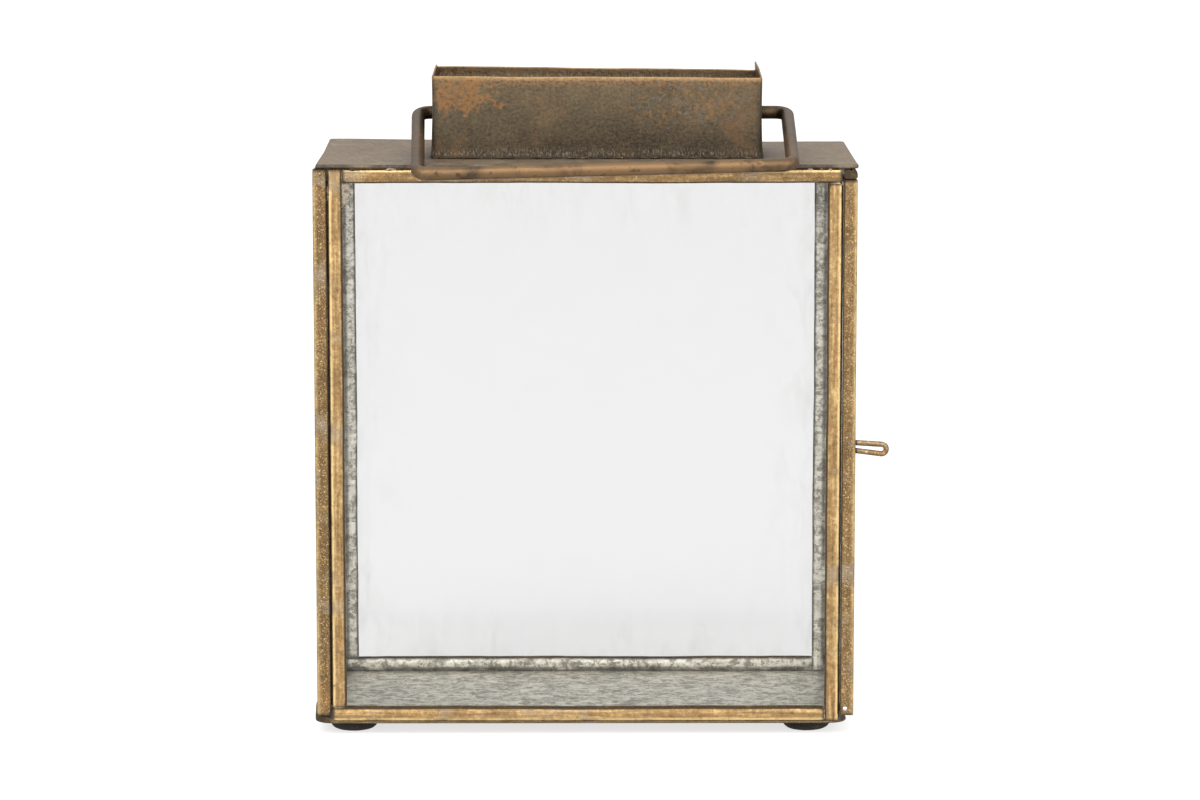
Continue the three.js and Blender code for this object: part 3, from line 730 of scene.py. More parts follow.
def build_channel(node, along, inward, inside, seed, age, sheet=None):
    """A length of folded channel in a frame node's box: its outline is carried along the box, made uneven,
    and marked where it is worn and carries a painted highlight, where it is dirty, and where painted shade
    darkens its hollow. The front and rear panels are bare zinc on the whole inside, and the others on all
    but the fold."""
    size = sizes()
    low, high = box(node)
    run_length, face, thick = (abs((high - low) @ axis) for axis in (along, inward, inside))
    start = (low + high) / 2 - along * run_length / 2 - inward * face / 2
    section, zones = channel_section(face, thick / 2, sheet or size.sheet, size.fold)
    rows = max(40, int(run_length / ROW_SPACING))
    s = np.tile(np.linspace(0, run_length, rows)[:, None], (1, len(section)))
    from_end = np.minimum(s, run_length - s)
    u, v = roughened(section, s, from_end, face, seed)
    points = start + s[..., None] * along + u[..., None] * inward + v[..., None] * inside
    uv = np.stack([s + 0.7 * seed, np.tile(around(section[None])[0], (rows, 1))], -1)
    lies_flat = node.startswith(("front", "rear"))
    marks = channel_marks(section, zones, from_end, face, thick, lies_flat)
    skin = (zones == 2) & (section[:, 0] > (0 if lies_flat else size.fold))
    name = node.replace("_channel", "_folded_channel")
    finishes = [channel_brass(age), zinc()]
    piece(name, points, finishes, body_of(node), (node,), uv=uv, marks=marks, slots_of=skin)


class LANTERN_OT_face_panels(bpy.types.Operator):
    """Fold the eight channels of the front and rear panels"""

    bl_idname = "lantern.face_panels"
    bl_label = "Front and rear channels"

    def execute(self, context):
        seed = 10
        for panel, inside in (("front", Y), ("rear", -Y)):
            for side, (along, inward) in FACE_SIDES.items():
                # The top channels get an older, darker finish: painted shade, standing in for the shade
                # under the plate's overhang and the handle.
                age = 0.45 if side == "top" else 0.06
                build_channel(f"{panel}_{side}_channel", along, inward, inside, seed, age)
                seed += 10
        return {"FINISHED"}


class LANTERN_OT_end_panels(bpy.types.Operator):
    """Fold the channels of the left end, the door and the lintel over the door"""

    bl_idname = "lantern.end_panels"
    bl_label = "End channels, door and lintel"

    def execute(self, context):
        seed = 110
        for panel, inside, age in (("left", X, 0.9), ("door", -X, 0.8)):
            for side, (along, inward) in END_SIDES.items():
                build_channel(f"{panel}_{side}_channel", along, inward, inside, seed, age)
                seed += 10
        low, high = box("door_lintel")
        build_channel("door_lintel", Y, Z, -X, seed, 0.75, sheet=0.46 * (high[0] - low[0]))
        return {"FINISHED"}


# ---------------------------------------------------------------- slabs: panes and the base


def rounded_outline(low, high, radius, side_points):
    """A closed rectangle outline with rounded corners, as points round it. radius may differ per corner, in
    the order right front, right rear, left rear, left front."""
    turns = ((1, -1), (1, 1), (-1, 1), (-1, -1))
    corners = [(high[0] if sx > 0 else low[0], high[1] if sy > 0 else low[1], sx, sy) for sx, sy in turns]
    loop = []
    for k, ((cx, cy, sx, sy), r) in enumerate(zip(corners, radius)):
        centre = (cx - sx * r, cy - sy * r)
        turn = -90 + 90 * k
        bend = arc(centre, r, turn, turn + 90, 9)
        following = corners[(k + 1) % 4]
        r_next = radius[(k + 1) % 4]
        ahead = (following[0] - following[2] * r_next, following[1] - following[3] * r_next)
        turn_next = math.radians(turn + 90)
        entry = (ahead[0] + r_next * math.cos(turn_next), ahead[1] + r_next * math.sin(turn_next))
        loop += [bend, run(bend[-1], entry, side_points[k % 2])[1:]]
    return np.concatenate(loop)


class LANTERN_OT_panes(bpy.types.Operator):
    """Cut the four panes and lay flux residue on the front one"""

    bl_idname = "lantern.panes"
    bl_label = "Panes"

    def execute(self, context):
        for node in ("front_glass", "rear_glass", "left_glass", "door_glass"):
            self.build_pane(node)
        self.build_residue()
        return {"FINISHED"}

    def build_pane(self, node):
        """A slab: rings of a rectangle outline, shrunk towards its centre on each face and joined round
        the ground edge. Marks: edge on the ground edge, near by the channels."""
        low, high = box(node)
        across, thick_axis = (Y, X) if node.startswith(("left", "door")) else (X, Y)
        middle = (low + high) / 2
        half = np.array([abs((high - low) @ across), high[2] - low[2]]) / 2
        depth = abs((high - low) @ thick_axis) / 2
        arris = sizes().arris
        outline = rounded_outline(-half, half, [0.6 * MM] * 4, (40, 40))
        shrink = 1 - arris / half
        rows = []
        for side in (1, -1):
            faces = [(outline * shrink * t, side * depth) for t in (0.001, 0.35, 0.7, 0.88, 0.95, 1.0)]
            rows += faces if side == 1 else faces[::-1]
            if side == 1:
                rows += [(outline, depth - arris), (outline, arris - depth)]
        flat = np.stack([ring for ring, _ in rows])
        level = np.array([z for _, z in rows])[:, None]
        points = middle + flat[..., :1] * across + flat[..., 1:] * Z + level[..., None] * thick_axis
        edge = np.tile((np.abs(level) < depth - arris / 2), (1, len(outline))).astype(float)
        gap = np.minimum(half[0] - np.abs(flat[..., 0]), half[1] - np.abs(flat[..., 1]))
        near = 1 - step(gap, 3 * MM, 22 * MM)
        name, marks = node.replace("_glass", "_pane"), {"edge": edge, "near": near}
        piece(name, points, [glass()], body_of(node), (node,), marks=marks, sharp=20)

    def build_residue(self):
        """A thin blister on the inner face of the front pane, in its top left corner: a disc whose radius
        and height wander round and across it."""
        high = box("front_left_channel")[1]
        angle = np.linspace(0, 2 * np.pi, 48, endpoint=False)
        radius = np.linspace(0.02, 1, 14)[:, None]
        rim = 1 + 0.25 * np.sin(2 * angle + 1) + 0.14 * np.sin(5 * angle) + 0.07 * np.sin(11 * angle + 2)
        x = high[0] - 1.2 * MM + 3.4 * MM * radius * rim * np.cos(angle)
        z = high[2] - 8.5 * MM + 6.5 * MM * radius * rim * np.sin(angle)
        lift = 0.12 * MM * (1 - radius**4) * (1 + 0.4 * np.sin(9 * angle))
        back = box("front_glass")[0][1] - 0.03 * MM
        front = np.stack([x, back - lift, z], -1)
        rear = np.stack([x, np.full_like(x, back), z], -1)[::-1]
        edge = np.tile(np.concatenate([radius, radius[::-1]]), (1, len(angle)))
        piece("glass_residue", np.concatenate([front, rear]), [residue()], "lantern_body",
              marks={"edge": edge}, sharp=60)


class LANTERN_OT_base(bpy.types.Operator):
    """Press the galvanised base sheet with its lip at the left end"""

    bl_idname = "lantern.base"
    bl_label = "Base sheet"

    def execute(self, context):
        """Makes the tray, then the ear at its rear right corner."""
        low, high = box("base_sheet")
        right = box("door_glass")[0][0] + 1.3 * MM
        sheet, bend = sizes().sheet, 6 * MM
        outline = rounded_outline(low[:2], (right, high[1]), [bend, 1 * MM, bend, bend], (150, 70))
        self.build_tray(outline, self.lip_height(outline, low, high, sheet), low, high, sheet)
        ear_low = np.array([right - 3 * MM, high[1] - 6 * MM])
        self.build_ear(ear_low, high[:2], low[2], sheet)
        return {"FINISHED"}

    def lip_height(self, outline, low, high, sheet):
        """Height of the lip above the sheet at each point of the outline: full along the straight of the
        left end, low round its two corners, and nothing elsewhere."""
        middle, corner_lip = (low[1] + high[1]) / 2, 1.7 * MM
        leftness = step(low[0] + 7 * MM - outline[:, 0], 0, 4 * MM)
        straight = step(high[1] - 7.5 * MM - middle - np.abs(outline[:, 1] - middle), 0, 2 * MM)
        lip = leftness * (corner_lip + (high[2] - low[2] - sheet - corner_lip) * straight)
        return lip + 0.25 * MM * leftness * wander(np.arange(len(outline)) * MM, 5, 0.03)

    def build_tray(self, outline, lip, low, high, sheet):
        """A closed skin: rings of the outline go out along the underside, up the outside of the lip, over
        its rim and back in across the floor. The underside and the outside are brass, the rest zinc."""
        centre = (low[:2] + high[:2]) / 2
        spoke = outline - centre
        inset = outline - sheet * spoke / np.linalg.norm(spoke, axis=1)[:, None]
        bottom, top = (np.full(len(outline), level) for level in (low[2], low[2] + sheet))
        dent = quilt(outline[:, 0], outline[:, 1], 3, 0.06, 0.12 * MM)
        shares = (0.004, 0.25, 0.5, 0.75, 0.9, 0.97)
        underside = [(centre + spoke * t, bottom) for t in (*shares, 0.998)]
        outside = [(outline, bottom + 0.3 * sheet), (outline, bottom + 0.8 * sheet + lip)]
        rim = [((outline + inset) / 2, top + lip), (inset, bottom + 0.9 * sheet + lip), (inset, top)]
        floor = []
        for t in shares[::-1]:
            fade = 1 - step(t, 0.8, 0.97)
            floor.append((centre + spoke * t, top - 0.05 * MM + dent * t * fade))
        points = np.stack([np.column_stack(ring) for ring in underside + outside + rim + floor])
        lip_foot, brass_rows = len(underside), len(underside + outside)
        grime_and_shade, wear_and_highlight = np.zeros(points.shape[:2]), np.zeros(points.shape[:2])
        # The lip and the floor's edge beside it are darkened: dirt, and painted shade on the lip's inner
        # side. The top of the lip is lightened: wear, together with a painted highlight.
        grime_and_shade[lip_foot - 1 : lip_foot + 6] = 0.5 + 0.5 * step(lip, 0.5 * MM, 1.5 * MM)
        wear_and_highlight[lip_foot + 1 : lip_foot + 4] = 0.25
        made = piece("base_tray", points, [zinc(), channel_brass(0.8)], "lantern_body",
                     ("base_sheet",), uv=points[..., :2], marks={"grime_and_shade": grime_and_shade, "wear_and_highlight": wear_and_highlight})
        finish_of = np.zeros(len(made.data.polygons), np.int32)
        under_cap = len(finish_of) - 2
        finish_of[: brass_rows * len(outline)] = 1
        finish_of[under_cap] = 1
        made.data.polygons.foreach_set("material_index", finish_of)

    def build_ear(self, low, high, bottom, sheet):
        """The ear that carries the hinge rod: a small rounded slab lapped on to the base."""
        outline = rounded_outline(low, high, [0.8 * MM, 1.5 * MM, 0.4 * MM, 0.4 * MM], (8, 8))
        middle = (low + high) / 2
        rows = []
        for t, level in ((0.01, 0.02), (0.95, 0.02), (1, 0.2), (1, 0.8), (0.95, 0.98), (0.01, 0.98)):
            ring = middle + (outline - middle) * t
            rows.append(np.column_stack([ring, np.full(len(ring), bottom + level * sheet)]))
        points = np.stack(rows)
        nothing = np.zeros(points.shape[:2])
        piece("hinge_ear", points, [channel_brass(0.8)], "lantern_body", uv=points[..., :2],
              marks={"grime_and_shade": nothing + 0.3, "wear_and_highlight": nothing})


class LANTERN_OT_feet(bpy.types.Operator):
    """Turn the four stick-on feet"""

    bl_idname = "lantern.feet"
    bl_label = "Feet"

    def execute(self, context):
        """Each foot is a profile turned about its axis: flat underneath, a domed shoulder, then straight
        up to the base, with a rim that wanders a little."""
        angle = np.linspace(0, 2 * np.pi, 72, endpoint=False)
        for k, corner in enumerate(("front_left", "front_right", "rear_left", "rear_right")):
            low, high = box(f"foot_{corner}")
            middle = (low + high) / 2
            radius, tall = (high[0] - low[0]) / 2, high[2] - low[2]
            shoulder = arc((radius - 2.4 * MM, 2.4 * MM), 2.4 * MM, -90, 0, 10)
            flat = np.array([(0.02 * radius, 0), (0.4 * radius, 0), (0.62 * radius, 0)])
            rim = (radius - 0.15 * MM, tall - 0.05 * MM)
            top = np.array([(radius, 0.8 * tall), rim, (0.02 * radius, tall)])
            profile = np.concatenate([flat, shoulder, top])
            wobble = 1 + 0.012 * np.sin(3 * angle + k) + 0.006 * np.sin(8 * angle + 2 * k)
            r = profile[:, :1] * np.where(profile[:, :1] > 0.7 * radius, wobble, 1.0)
            r = np.minimum(r, radius)
            points = np.array([middle[0], middle[1], low[2]]) + turned(r, profile[:, 1:], len(angle))
            piece(f"foot_pad_{corner}", points, [foot_rubber()], "lantern_body",
                  (f"foot_{corner}",), sharp=50)
        return {"FINISHED"}


# ---------------------------------------------------------------- top plate and chimney


class LANTERN_OT_top_plate(bpy.types.Operator):
    """Hem the top plate and cut its vent"""

    bl_idname = "lantern.top_plate"
    bl_label = "Top plate"

    def execute(self, context):
        """The sheet is a ring that is closed both ways, out over the top and back underneath."""
        low, high = box("top_plate")
        points, under = self.fold_rings(low, high)
        self.spring(points, low, high)
        marks = self.mark_darkening_and_wear(points, under)
        piece("hemmed_top_plate", points, [plate_brass(), zinc()], "lantern_body",
              ("top_plate",), wrap_rows=True, uv=points[..., :2], marks=marks)
        return {"FINISHED"}

    def fold_rings(self, low, high):
        """Round the ring: spokes from the vent's rectangle to the plate's. Across it: out over the top,
        round the rolled edge, in under the hem, and back to the vent. Also returns, for each row, 0 on
        top, 0.5 on the edge and 1 underneath."""
        size = sizes()
        wrap_low, wrap_high = box("chimney_wrap")
        vent_in = size.sheet + 2.2 * MM
        rounding, side_points = [0.7 * MM] * 4, (64, 130)
        outer = rounded_outline(low[:2], high[:2], rounding, side_points)
        inner = rounded_outline(wrap_low[:2] + vent_in, wrap_high[:2] - vent_in, rounding, side_points)
        top, thick, sheet = high[2], high[2] - low[2], size.sheet
        outward = np.zeros_like(outer)
        for axis in (0, 1):
            outward[:, axis] += np.isclose(outer[:, axis], high[axis], atol=MM)
            outward[:, axis] -= np.isclose(outer[:, axis], low[axis], atol=MM)
        hemmed = np.abs(outward[:, 1]) > 0
        edge = np.where(hemmed, thick, sheet)
        rings = []
        for t in np.linspace(0, 1, 15) ** 0.9:
            rings.append((inner + (outer - edge[:, None] / 2 * outward - inner) * t, top + 0 * edge, 0.0))
        for turn in np.radians(np.linspace(75, -90, 10)):
            nose = outer - (edge / 2 * (1 - np.cos(turn)))[:, None] * outward
            rings.append((nose, top - edge / 2 * (1 - np.sin(turn)), 0.5))
        hem = np.where(hemmed, size.hem, 1 * MM)
        hem_line = outer - hem[:, None] * outward
        inside_hem = outer - (hem + 0.1 * MM)[:, None] * outward
        rings += [(hem_line, top - edge, 1.0), (inside_hem, top - sheet + 0 * edge, 1.0)]
        for t in (0.6, 0.3, 0.0):
            rings.append((inner + (hem_line - inner) * t, top - sheet + 0 * edge, 1.0))
        points = np.stack([np.column_stack([flat, level]) for flat, level, _ in rings])
        return points, np.array([under for _, _, under in rings])[:, None]

    def spring(self, points, low, high):
        """Lifts the rear left corner, quilts the sheet faintly and lets its long edges wander."""
        x, y = points[..., 0], points[..., 1]
        to_left = step(-x, -0.02, -low[0])
        to_rear = step(y, (low[1] + high[1]) / 2, high[1])
        clear = np.minimum(step(y, low[1], low[1] + 8 * MM), step(high[1] - y, 0, 8 * MM))
        points[..., 2] += sizes().lift * to_left * to_rear
        points[..., 2] += (quilt(x, y, 21, 0.09, 0.16 * MM) - 0.1 * MM) * clear
        points[..., 2] += 0.12 * MM * wander(x, 22, 0.09) * (1 - clear)

    def mark_darkening_and_wear(self, points, under):
        """Darker about the chimney's foot, underneath and along the rolled edge, which is also marked for
        wear.
        """
        wrap_low, wrap_high = box("chimney_wrap")
        x, y = points[..., 0], points[..., 1]
        gap_x = np.maximum(np.maximum(wrap_low[0] - x, x - wrap_high[0]), 0)
        gap_y = np.maximum(np.maximum(wrap_low[1] - y, y - wrap_high[1]), 0)
        by_chimney_foot = 1 - step(np.hypot(gap_x, gap_y), 0.2 * MM, 3.5 * MM)
        grime_and_shade = np.maximum(0.55 * by_chimney_foot, np.where(under >= 1, 0.35, 0.0))
        on_edge = (under > 0) & (under < 1)
        grime_and_shade = np.maximum(grime_and_shade, on_edge * (0.75 + 0.6 * wander(x, 23, 0.02)))
        return {"grime_and_shade": grime_and_shade, "wear_and_highlight": 0.35 * on_edge + 0 * x}


def sheet_wall(path, normals, bottom, top, sheet, levels=22):
    """A bent sheet standing on edge. path holds points of its outer face in plan, normals point outwards,
    and bottom and top give its height at each point. The closed section runs up the outer face, over a
    rounded top edge, down the inner face and back under."""
    rise = np.linspace(0, 1, levels)
    lip = np.radians(np.linspace(0, 180, 6))[1:-1]
    columns = []
    for t in rise:
        columns.append((0.0, t, 0.0))
    for turn in lip:
        columns.append(((1 - math.cos(turn)) / 2, 1.0, math.sin(turn) / 2))
    for t in rise[::-1]:
        columns.append((1.0, t, 0.0))
    inset, height, over = (np.array(c) for c in zip(*columns))
    flat = path[:, None, :] - (inset * sheet)[None, :, None] * normals[:, None, :]
    level = bottom[:, None] + (top - bottom)[:, None] * height + (over * sheet)[None, :]
    return np.concatenate([flat, level[..., None]], -1), height, inset


def pierce(made, centre, axis, radius, reach):
    """Cuts a round hole through a piece with an exact boolean."""
    turn = np.linspace(0, 2 * np.pi, 40, endpoint=False)
    side, up = (Y, Z) if axis is X else (X, Y)
    ring = radius * (np.cos(turn)[:, None] * side + np.sin(turn)[:, None] * up)
    ends = [centre + ring - axis * reach, centre + ring + axis * reach]
    vertices = np.concatenate(ends)
    count = len(turn)
    faces = [[k, (k + 1) % count, count + (k + 1) % count, count + k] for k in range(count)]
    faces += [list(range(count))[::-1], list(range(count, 2 * count))]
    mesh = bpy.data.meshes.new("drill")
    mesh.from_pydata(vertices.tolist(), [], faces)
    drill = bpy.data.objects.new("drill", mesh)
    bpy.context.scene.collection.objects.link(drill)
    cut = made.modifiers.new("hole", "BOOLEAN")
    cut.object, cut.operation, cut.solver = drill, "DIFFERENCE", "EXACT"
    bpy.context.view_layer.update()
    cut_mesh = bpy.data.meshes.new_from_object(made.evaluated_get(bpy.context.evaluated_depsgraph_get()))
    made.modifiers.clear()
    old, made.data = made.data, cut_mesh
    cut_mesh.name = old.name
    bpy.data.objects.remove(drill)
    bpy.data.meshes.remove(old)


class LANTERN_OT_chimney(bpy.types.Operator):
    """Fold the chimney's front and ends, set its rear wall between them and solder its foot"""

    bl_idname = "lantern.chimney"
    bl_label = "Chimney"

    def execute(self, context):
        size = sizes()
        low, high = box("chimney_wrap")
        self.build_wrap(low, high, size.sheet)
        self.build_rear_wall(size.sheet)
        self.build_foot_solder(low, high, size.bead)
        return {"FINISHED"}

    def plan_wrap(self, low, high):
        """Plan of the strip: three straight walls with rounded corners, and the way out at each point."""
        bend = 1.9 * MM
        left, right, front, rear = low[0], high[0], low[1], high[1]
        down = run((left, rear), (left, front + bend), 44)
        corner_a = arc((left + bend, front + bend), bend, 180, 270, 10)
        along = run((left + bend, front), (right - bend, front), 150)[1:]
        corner_b = arc((right - bend, front + bend), bend, 270, 360, 10)
        back = np.linspace((right, front + bend), (right, rear), 44)[1:]
        path = np.concatenate([down, corner_a, along, corner_b, back])
        tangent = np.gradient(path, axis=0)
        tangent /= np.linalg.norm(tangent, axis=1)[:, None]
        return path, np.column_stack([tangent[:, 1], -tangent[:, 0]])

    def build_wrap(self, low, high, sheet):
        """One strip bent round the front. It flares a little at its foot, its front rim dips to the
        right, and its ends rise to the rear."""
        left, right, front, rear = low[0], high[0], low[1], high[1]
        path, normals = self.plan_wrap(low, high)
        rightness = (path[:, 0] - left) / (right - left)
        rearness = (path[:, 1] - front) / (rear - front)
        s = around(path[None])[0]
        top = high[2] - 0.35 * MM - 0.5 * MM * rightness * (1 - rearness) + wander(s, 40, 0.07, 0.16 * MM)
        tip_left = step(0.25 - rightness, 0, 0.2) * step(rearness, 0.0, 1.0) * 1.0 * MM
        tip_right = step(rightness - 0.75, 0, 0.2) * np.clip(rearness, 0, 1) ** 1.6 * 1.9 * MM
        top = top + tip_left + tip_right
        points, height, inset = sheet_wall(path, normals, low[2] + 0 * s, top, sheet)
        spread = 0.25 + 0.5 * step(np.abs(rightness - 0.5), 0.46, 0.5)
        flare = (1 - step(height, 0.0, 0.12))[None, :] * spread[:, None]
        leaning = step(rightness, 0.9, 1.0) * step(rearness, 0.6, 1)
        lean = leaning[:, None] * height[None, :] ** 2 * -0.5 * MM
        tall = 27 * MM
        uv = unrolled(s, tall * height)
        bulge = quilt(uv[..., 0], uv[..., 1], 44, 0.09, 0.22 * MM)
        bulge = bulge * (np.sin(np.pi * height) ** 0.7)[None, :] * (1 - step(rearness, 0.75, 1.0))[:, None]
        push = flare * 0.45 * MM + lean + bulge - 0.2 * MM * step(height, 0.1, 0.6)[None, :]
        points[..., :2] += push[..., None] * normals[:, None, :]
        # The outer top edge: marked for wear and a painted highlight.
        rim = np.where((height > 0.985) & (inset < 1), 1.0, 0.0)[None, :] + 0 * push
        grime_and_shade = np.maximum(1 - step(height, 0.0, 0.05), 0.55 * (inset == 1))[None, :] + 0 * push
        marks = {"grime_and_shade": grime_and_shade, "wear_and_highlight": rim, "flux": 0 * grime_and_shade}
        made = piece("folded_chimney", points, [chimney_brass()], "lantern_body",
                     ("chimney_wrap",), uv=uv, marks=marks, sharp=40)
        pivot = np.array(joint("handle_swing")["pos_m"])
        for x in (left, right):
            pierce(made, np.array([x, pivot[1], pivot[2]]), X, 2.6 * MM, 5 * MM)

    def build_rear_wall(self, sheet):
        """A flat sheet between the ends, its top edge hemmed inwards, sagging to the right."""
        low, high = box("chimney_rear_wall")
        x = np.linspace(low[0], high[0], 150)
        path = np.column_stack([x, np.full_like(x, high[1])])
        normals = np.tile([0.0, 1.0], (len(x), 1))
        rightness = (x - low[0]) / (high[0] - low[0])
        top = high[2] + 0.9 * MM - 1.3 * MM * rightness + wander(x, 50, 0.06, 0.14 * MM)
        points, height, inset = sheet_wall(path, normals, low[2] + 0 * x, top, high[1] - low[1])
        thicker = np.where(inset > 0.05, step(height, 0.955, 0.965), 0) * 0.7 * MM
        points[..., 1] -= thicker[None, :]
        bulge = quilt(points[..., 0], points[..., 2], 51, 0.06, 0.2 * MM)
        points[..., 1] += bulge * np.sin(np.pi * height)[None, :] - 0.1 * MM
        # The hemmed top edge: marked for wear and a painted highlight.
        rim = np.where(height > 0.955, 0.65, 0.0)[None, :] + 0 * points[..., 0]
        grime_and_shade = np.where(inset == 1, 0.3, 0.1)[None, :] * (1 - rim)
        flux = (inset == 1)[None, :] * (1 - rim)
        piece("chimney_back", points, [chimney_brass()], "lantern_body",
              ("chimney_rear_wall",), marks={"grime_and_shade": grime_and_shade, "wear_and_highlight": rim, "flux": flux}, sharp=40)

    def build_foot_solder(self, low, high, bead):
        """Solder run along the foot of the front and of each end: a rod whose radius wanders and in places
        thins to nothing, tapered to a point at both ends."""
        z = low[2] + 0.12 * MM
        runs = {
            "front": ((low[0] + 2 * MM, low[1] - 0.3 * MM), (high[0] - 2 * MM, low[1] - 0.3 * MM)),
            "left": ((low[0] - 0.2 * MM, low[1] + 3 * MM), (low[0] - 0.2 * MM, high[1] - 1 * MM)),
            "right": ((high[0] + 0.2 * MM, low[1] + 3 * MM), (high[0] + 0.2 * MM, high[1] - 1 * MM)),
            "rear": ((low[0] + 2 * MM, high[1] + 0.2 * MM), (high[0] - 2 * MM, high[1] + 0.2 * MM)),
        }
        for k, (side, (start, end)) in enumerate(runs.items()):
            build_bead(f"chimney_solder_{side}", (*start, z), (*end, z), bead, 60 + k, dirty=True)


def build_bead(name, start, end, radius, seed, broken=False, dirty=False, even=False):
    """Solder between two points, as a lumpy rod with pointed ends, or, broken, as a string of specks, or,
    even, as a smooth fillet that is nowhere thicker than its radius."""
    start, end = np.array(start), np.array(end)
    reach = np.linalg.norm(end - start)
    axis = (end - start) / reach
    side = np.cross(axis, Z)
    if np.linalg.norm(side) < 0.1:
        side = X
    side = side / np.linalg.norm(side)
    up = np.cross(side, axis)
    rows = max(24, int(reach / 0.0005))
    s = np.linspace(0, reach, rows)
    angle = np.linspace(0, 2 * np.pi, 12, endpoint=False)
    lumps = 0.75 + 0.5 * wander(s, seed, 0.012) + 0.35 * wander(s, seed + 5, 0.004)
    if broken:
        lumps = 1.9 * wander(s, seed, 0.007) + 0.15
    if even:
        lumps = 0.96 + 0.04 * wander(s, seed, 0.012)
    taper = np.sqrt(np.clip(np.minimum(s, reach - s) / (2 * radius), 0.003, 1))
    r = (radius * np.clip(lumps, 0.06 if broken else 0.2, 1.3) * taper)[:, None]
    knobs = 1 + (0.0 if even else 0.15) * np.sin(3 * angle + s[:, None] / 0.0009)
    points = (start + s[:, None] * axis)[:, None, :] + (r * knobs * np.cos(angle))[..., None] * side
    points = points + (r * knobs * np.sin(angle))[..., None] * up
    return piece(name, points, [solder(dirty)], "lantern_body", sharp=60)


class LANTERN_OT_solder(bpy.types.Operator):
    """Dab solder on the seams of the frame"""

    bl_idname = "lantern.solder"
    bl_label = "Solder"

    def execute(self, context):
        """Short beads: one in each corner seam of the front and rear panels, runs up the gaps beside the
        front panel and the rear left one, a seam where the front panel meets the plate, and a longer broken
        one at its right."""
        for k, (panel, out) in enumerate((("front", -1), ("rear", 1))):
            left_low, left_high = box(f"{panel}_left_channel")
            right_low, right_high = box(f"{panel}_right_channel")
            face = (left_low if out < 0 else left_high)[1] - out * 0.12 * MM
            off, inset = 0.05 * MM, 0.5 * MM
            x, z = left_high[0] + off, left_high[2]
            upright_left = (x, z - 4.1 * MM), (x, z - 0.3 * MM)
            z = left_low[2] - off
            level_left = (left_low[0] + inset, z), (left_high[0] - inset, z)
            z = right_high[2] + off
            level_right = (right_low[0] + inset, z), (right_high[0] - inset, z)
            x, z = right_low[0] - off, right_low[2]
            upright_right = (x, z + 0.4 * MM), (x, z + 4.0 * MM)
            seams = {
                "top_left": upright_left,
                "bottom_left": level_left,
                "top_right": level_right,
                "bottom_right": upright_right,
            }
            for j, (corner, ((x0, z0), (x1, z1))) in enumerate(seams.items()):
                name, seed = f"{panel}_solder_{corner}", 80 + 10 * k + j
                build_bead(name, (x0, face, z0), (x1, face, z1), 0.2 * MM, seed)
        self.fill_corners()
        low, high = box("front_top_channel")
        stops = (low[0] + 0.5 * MM, low[0] + 42 * MM, high[0] - 1 * MM)
        y, z = low[1] + 0.35 * MM, high[2] + 0.08 * MM
        for k, (x0, x1) in enumerate(zip(stops, stops[1:])):
            radius = (0.42 - 0.12 * k) * MM
            build_bead(f"plate_seam_{k}", (x0, y, z), (x1, y, z), radius, 104 + k, dirty=True)
        y, z = low[1] + 0.55 * MM, high[2] - 0.02 * MM
        start, end = (high[0] - 34 * MM, y, z), (high[0] - 3 * MM, y, z)
        build_bead("plate_solder", start, end, 0.42 * MM, 100, broken=True)
        return {"FINISHED"}

    def fill_corners(self):
        """Dark solder up the gaps between the front panel and its neighbours, and up the rear left one. On
        the right it clings to the panel and stays clear of the door."""
        for name, panel, neighbour, clear in (
            ("front_left_seam", "front_left_channel", "left_front_channel", 0.0),
            ("rear_left_seam", "rear_left_channel", "left_rear_channel", 0.0),
            ("front_right_seam", "front_right_channel", "door_front_channel", 0.07 * MM),
        ):
            low, high = box(panel)
            other_low, other_high = box(neighbour)
            out = 1 if low[0] > 0 else -1
            edge = high[0] if out > 0 else low[0]
            gap = abs((other_low[0] if out > 0 else other_high[0]) - edge) - clear
            radius = gap / 2 + (0.04 * MM if clear == 0 else 0)
            x = edge + out * (radius - 0.04 * MM)
            y = low[1] + 1.6 * MM if low[1] < 0 else high[1] - 1.6 * MM
            start, end = (x, y, low[2] + 0.5 * MM), (x, y, high[2] - 0.5 * MM)
            build_bead(name, start, end, radius, 120, dirty=True, even=True)


# ---------------------------------------------------------------- wires


def bent_wire(corners, radius, bend, spacing):
    """Centre line of a wire that runs straight between corners and turns each one on an arc of the bend
    radius. Returns evenly spaced points."""
    line = [corners[0]]
    for before, at, after in zip(corners, corners[1:], corners[2:]):
        into, out = (at - before) / np.linalg.norm(at - before), (after - at) / np.linalg.norm(after - at)
        turn = math.acos(np.clip(into @ out, -1, 1))
        setback = bend * math.tan(turn / 2)
        start = at - into * setback
        inward = out - into * (into @ out)
        inward /= np.linalg.norm(inward)
        angle = np.linspace(0, turn, 24)[:, None]
        line += list(start + bend * np.sin(angle) * into + bend * (1 - np.cos(angle)) * inward)
    line.append(corners[-1])
    line = np.array(line)
    s = around(line[None])[0]
    even = np.linspace(0, s[-1], int(s[-1] / spacing))
    return np.stack([np.interp(even, s, line[:, k]) for k in range(3)], 1), even


def wire_rings(line, radius, sides, reference):
    """Rings of a round wire about its centre line. Each ring is square to the line, and starts on the side
    that the reference vector points to."""
    tangent = np.gradient(line, axis=0)
    tangent /= np.linalg.norm(tangent, axis=1)[:, None]
    side = np.cross(tangent, reference)
    side /= np.linalg.norm(side, axis=1)[:, None]
    up = np.cross(side, tangent)
    angle = np.linspace(0, 2 * np.pi, sides, endpoint=False)
    out = np.cos(angle)[None, :, None] * side[:, None, :] + np.sin(angle)[None, :, None] * up[:, None, :]
    return line[:, None, :] + radius[:, None, None] * out


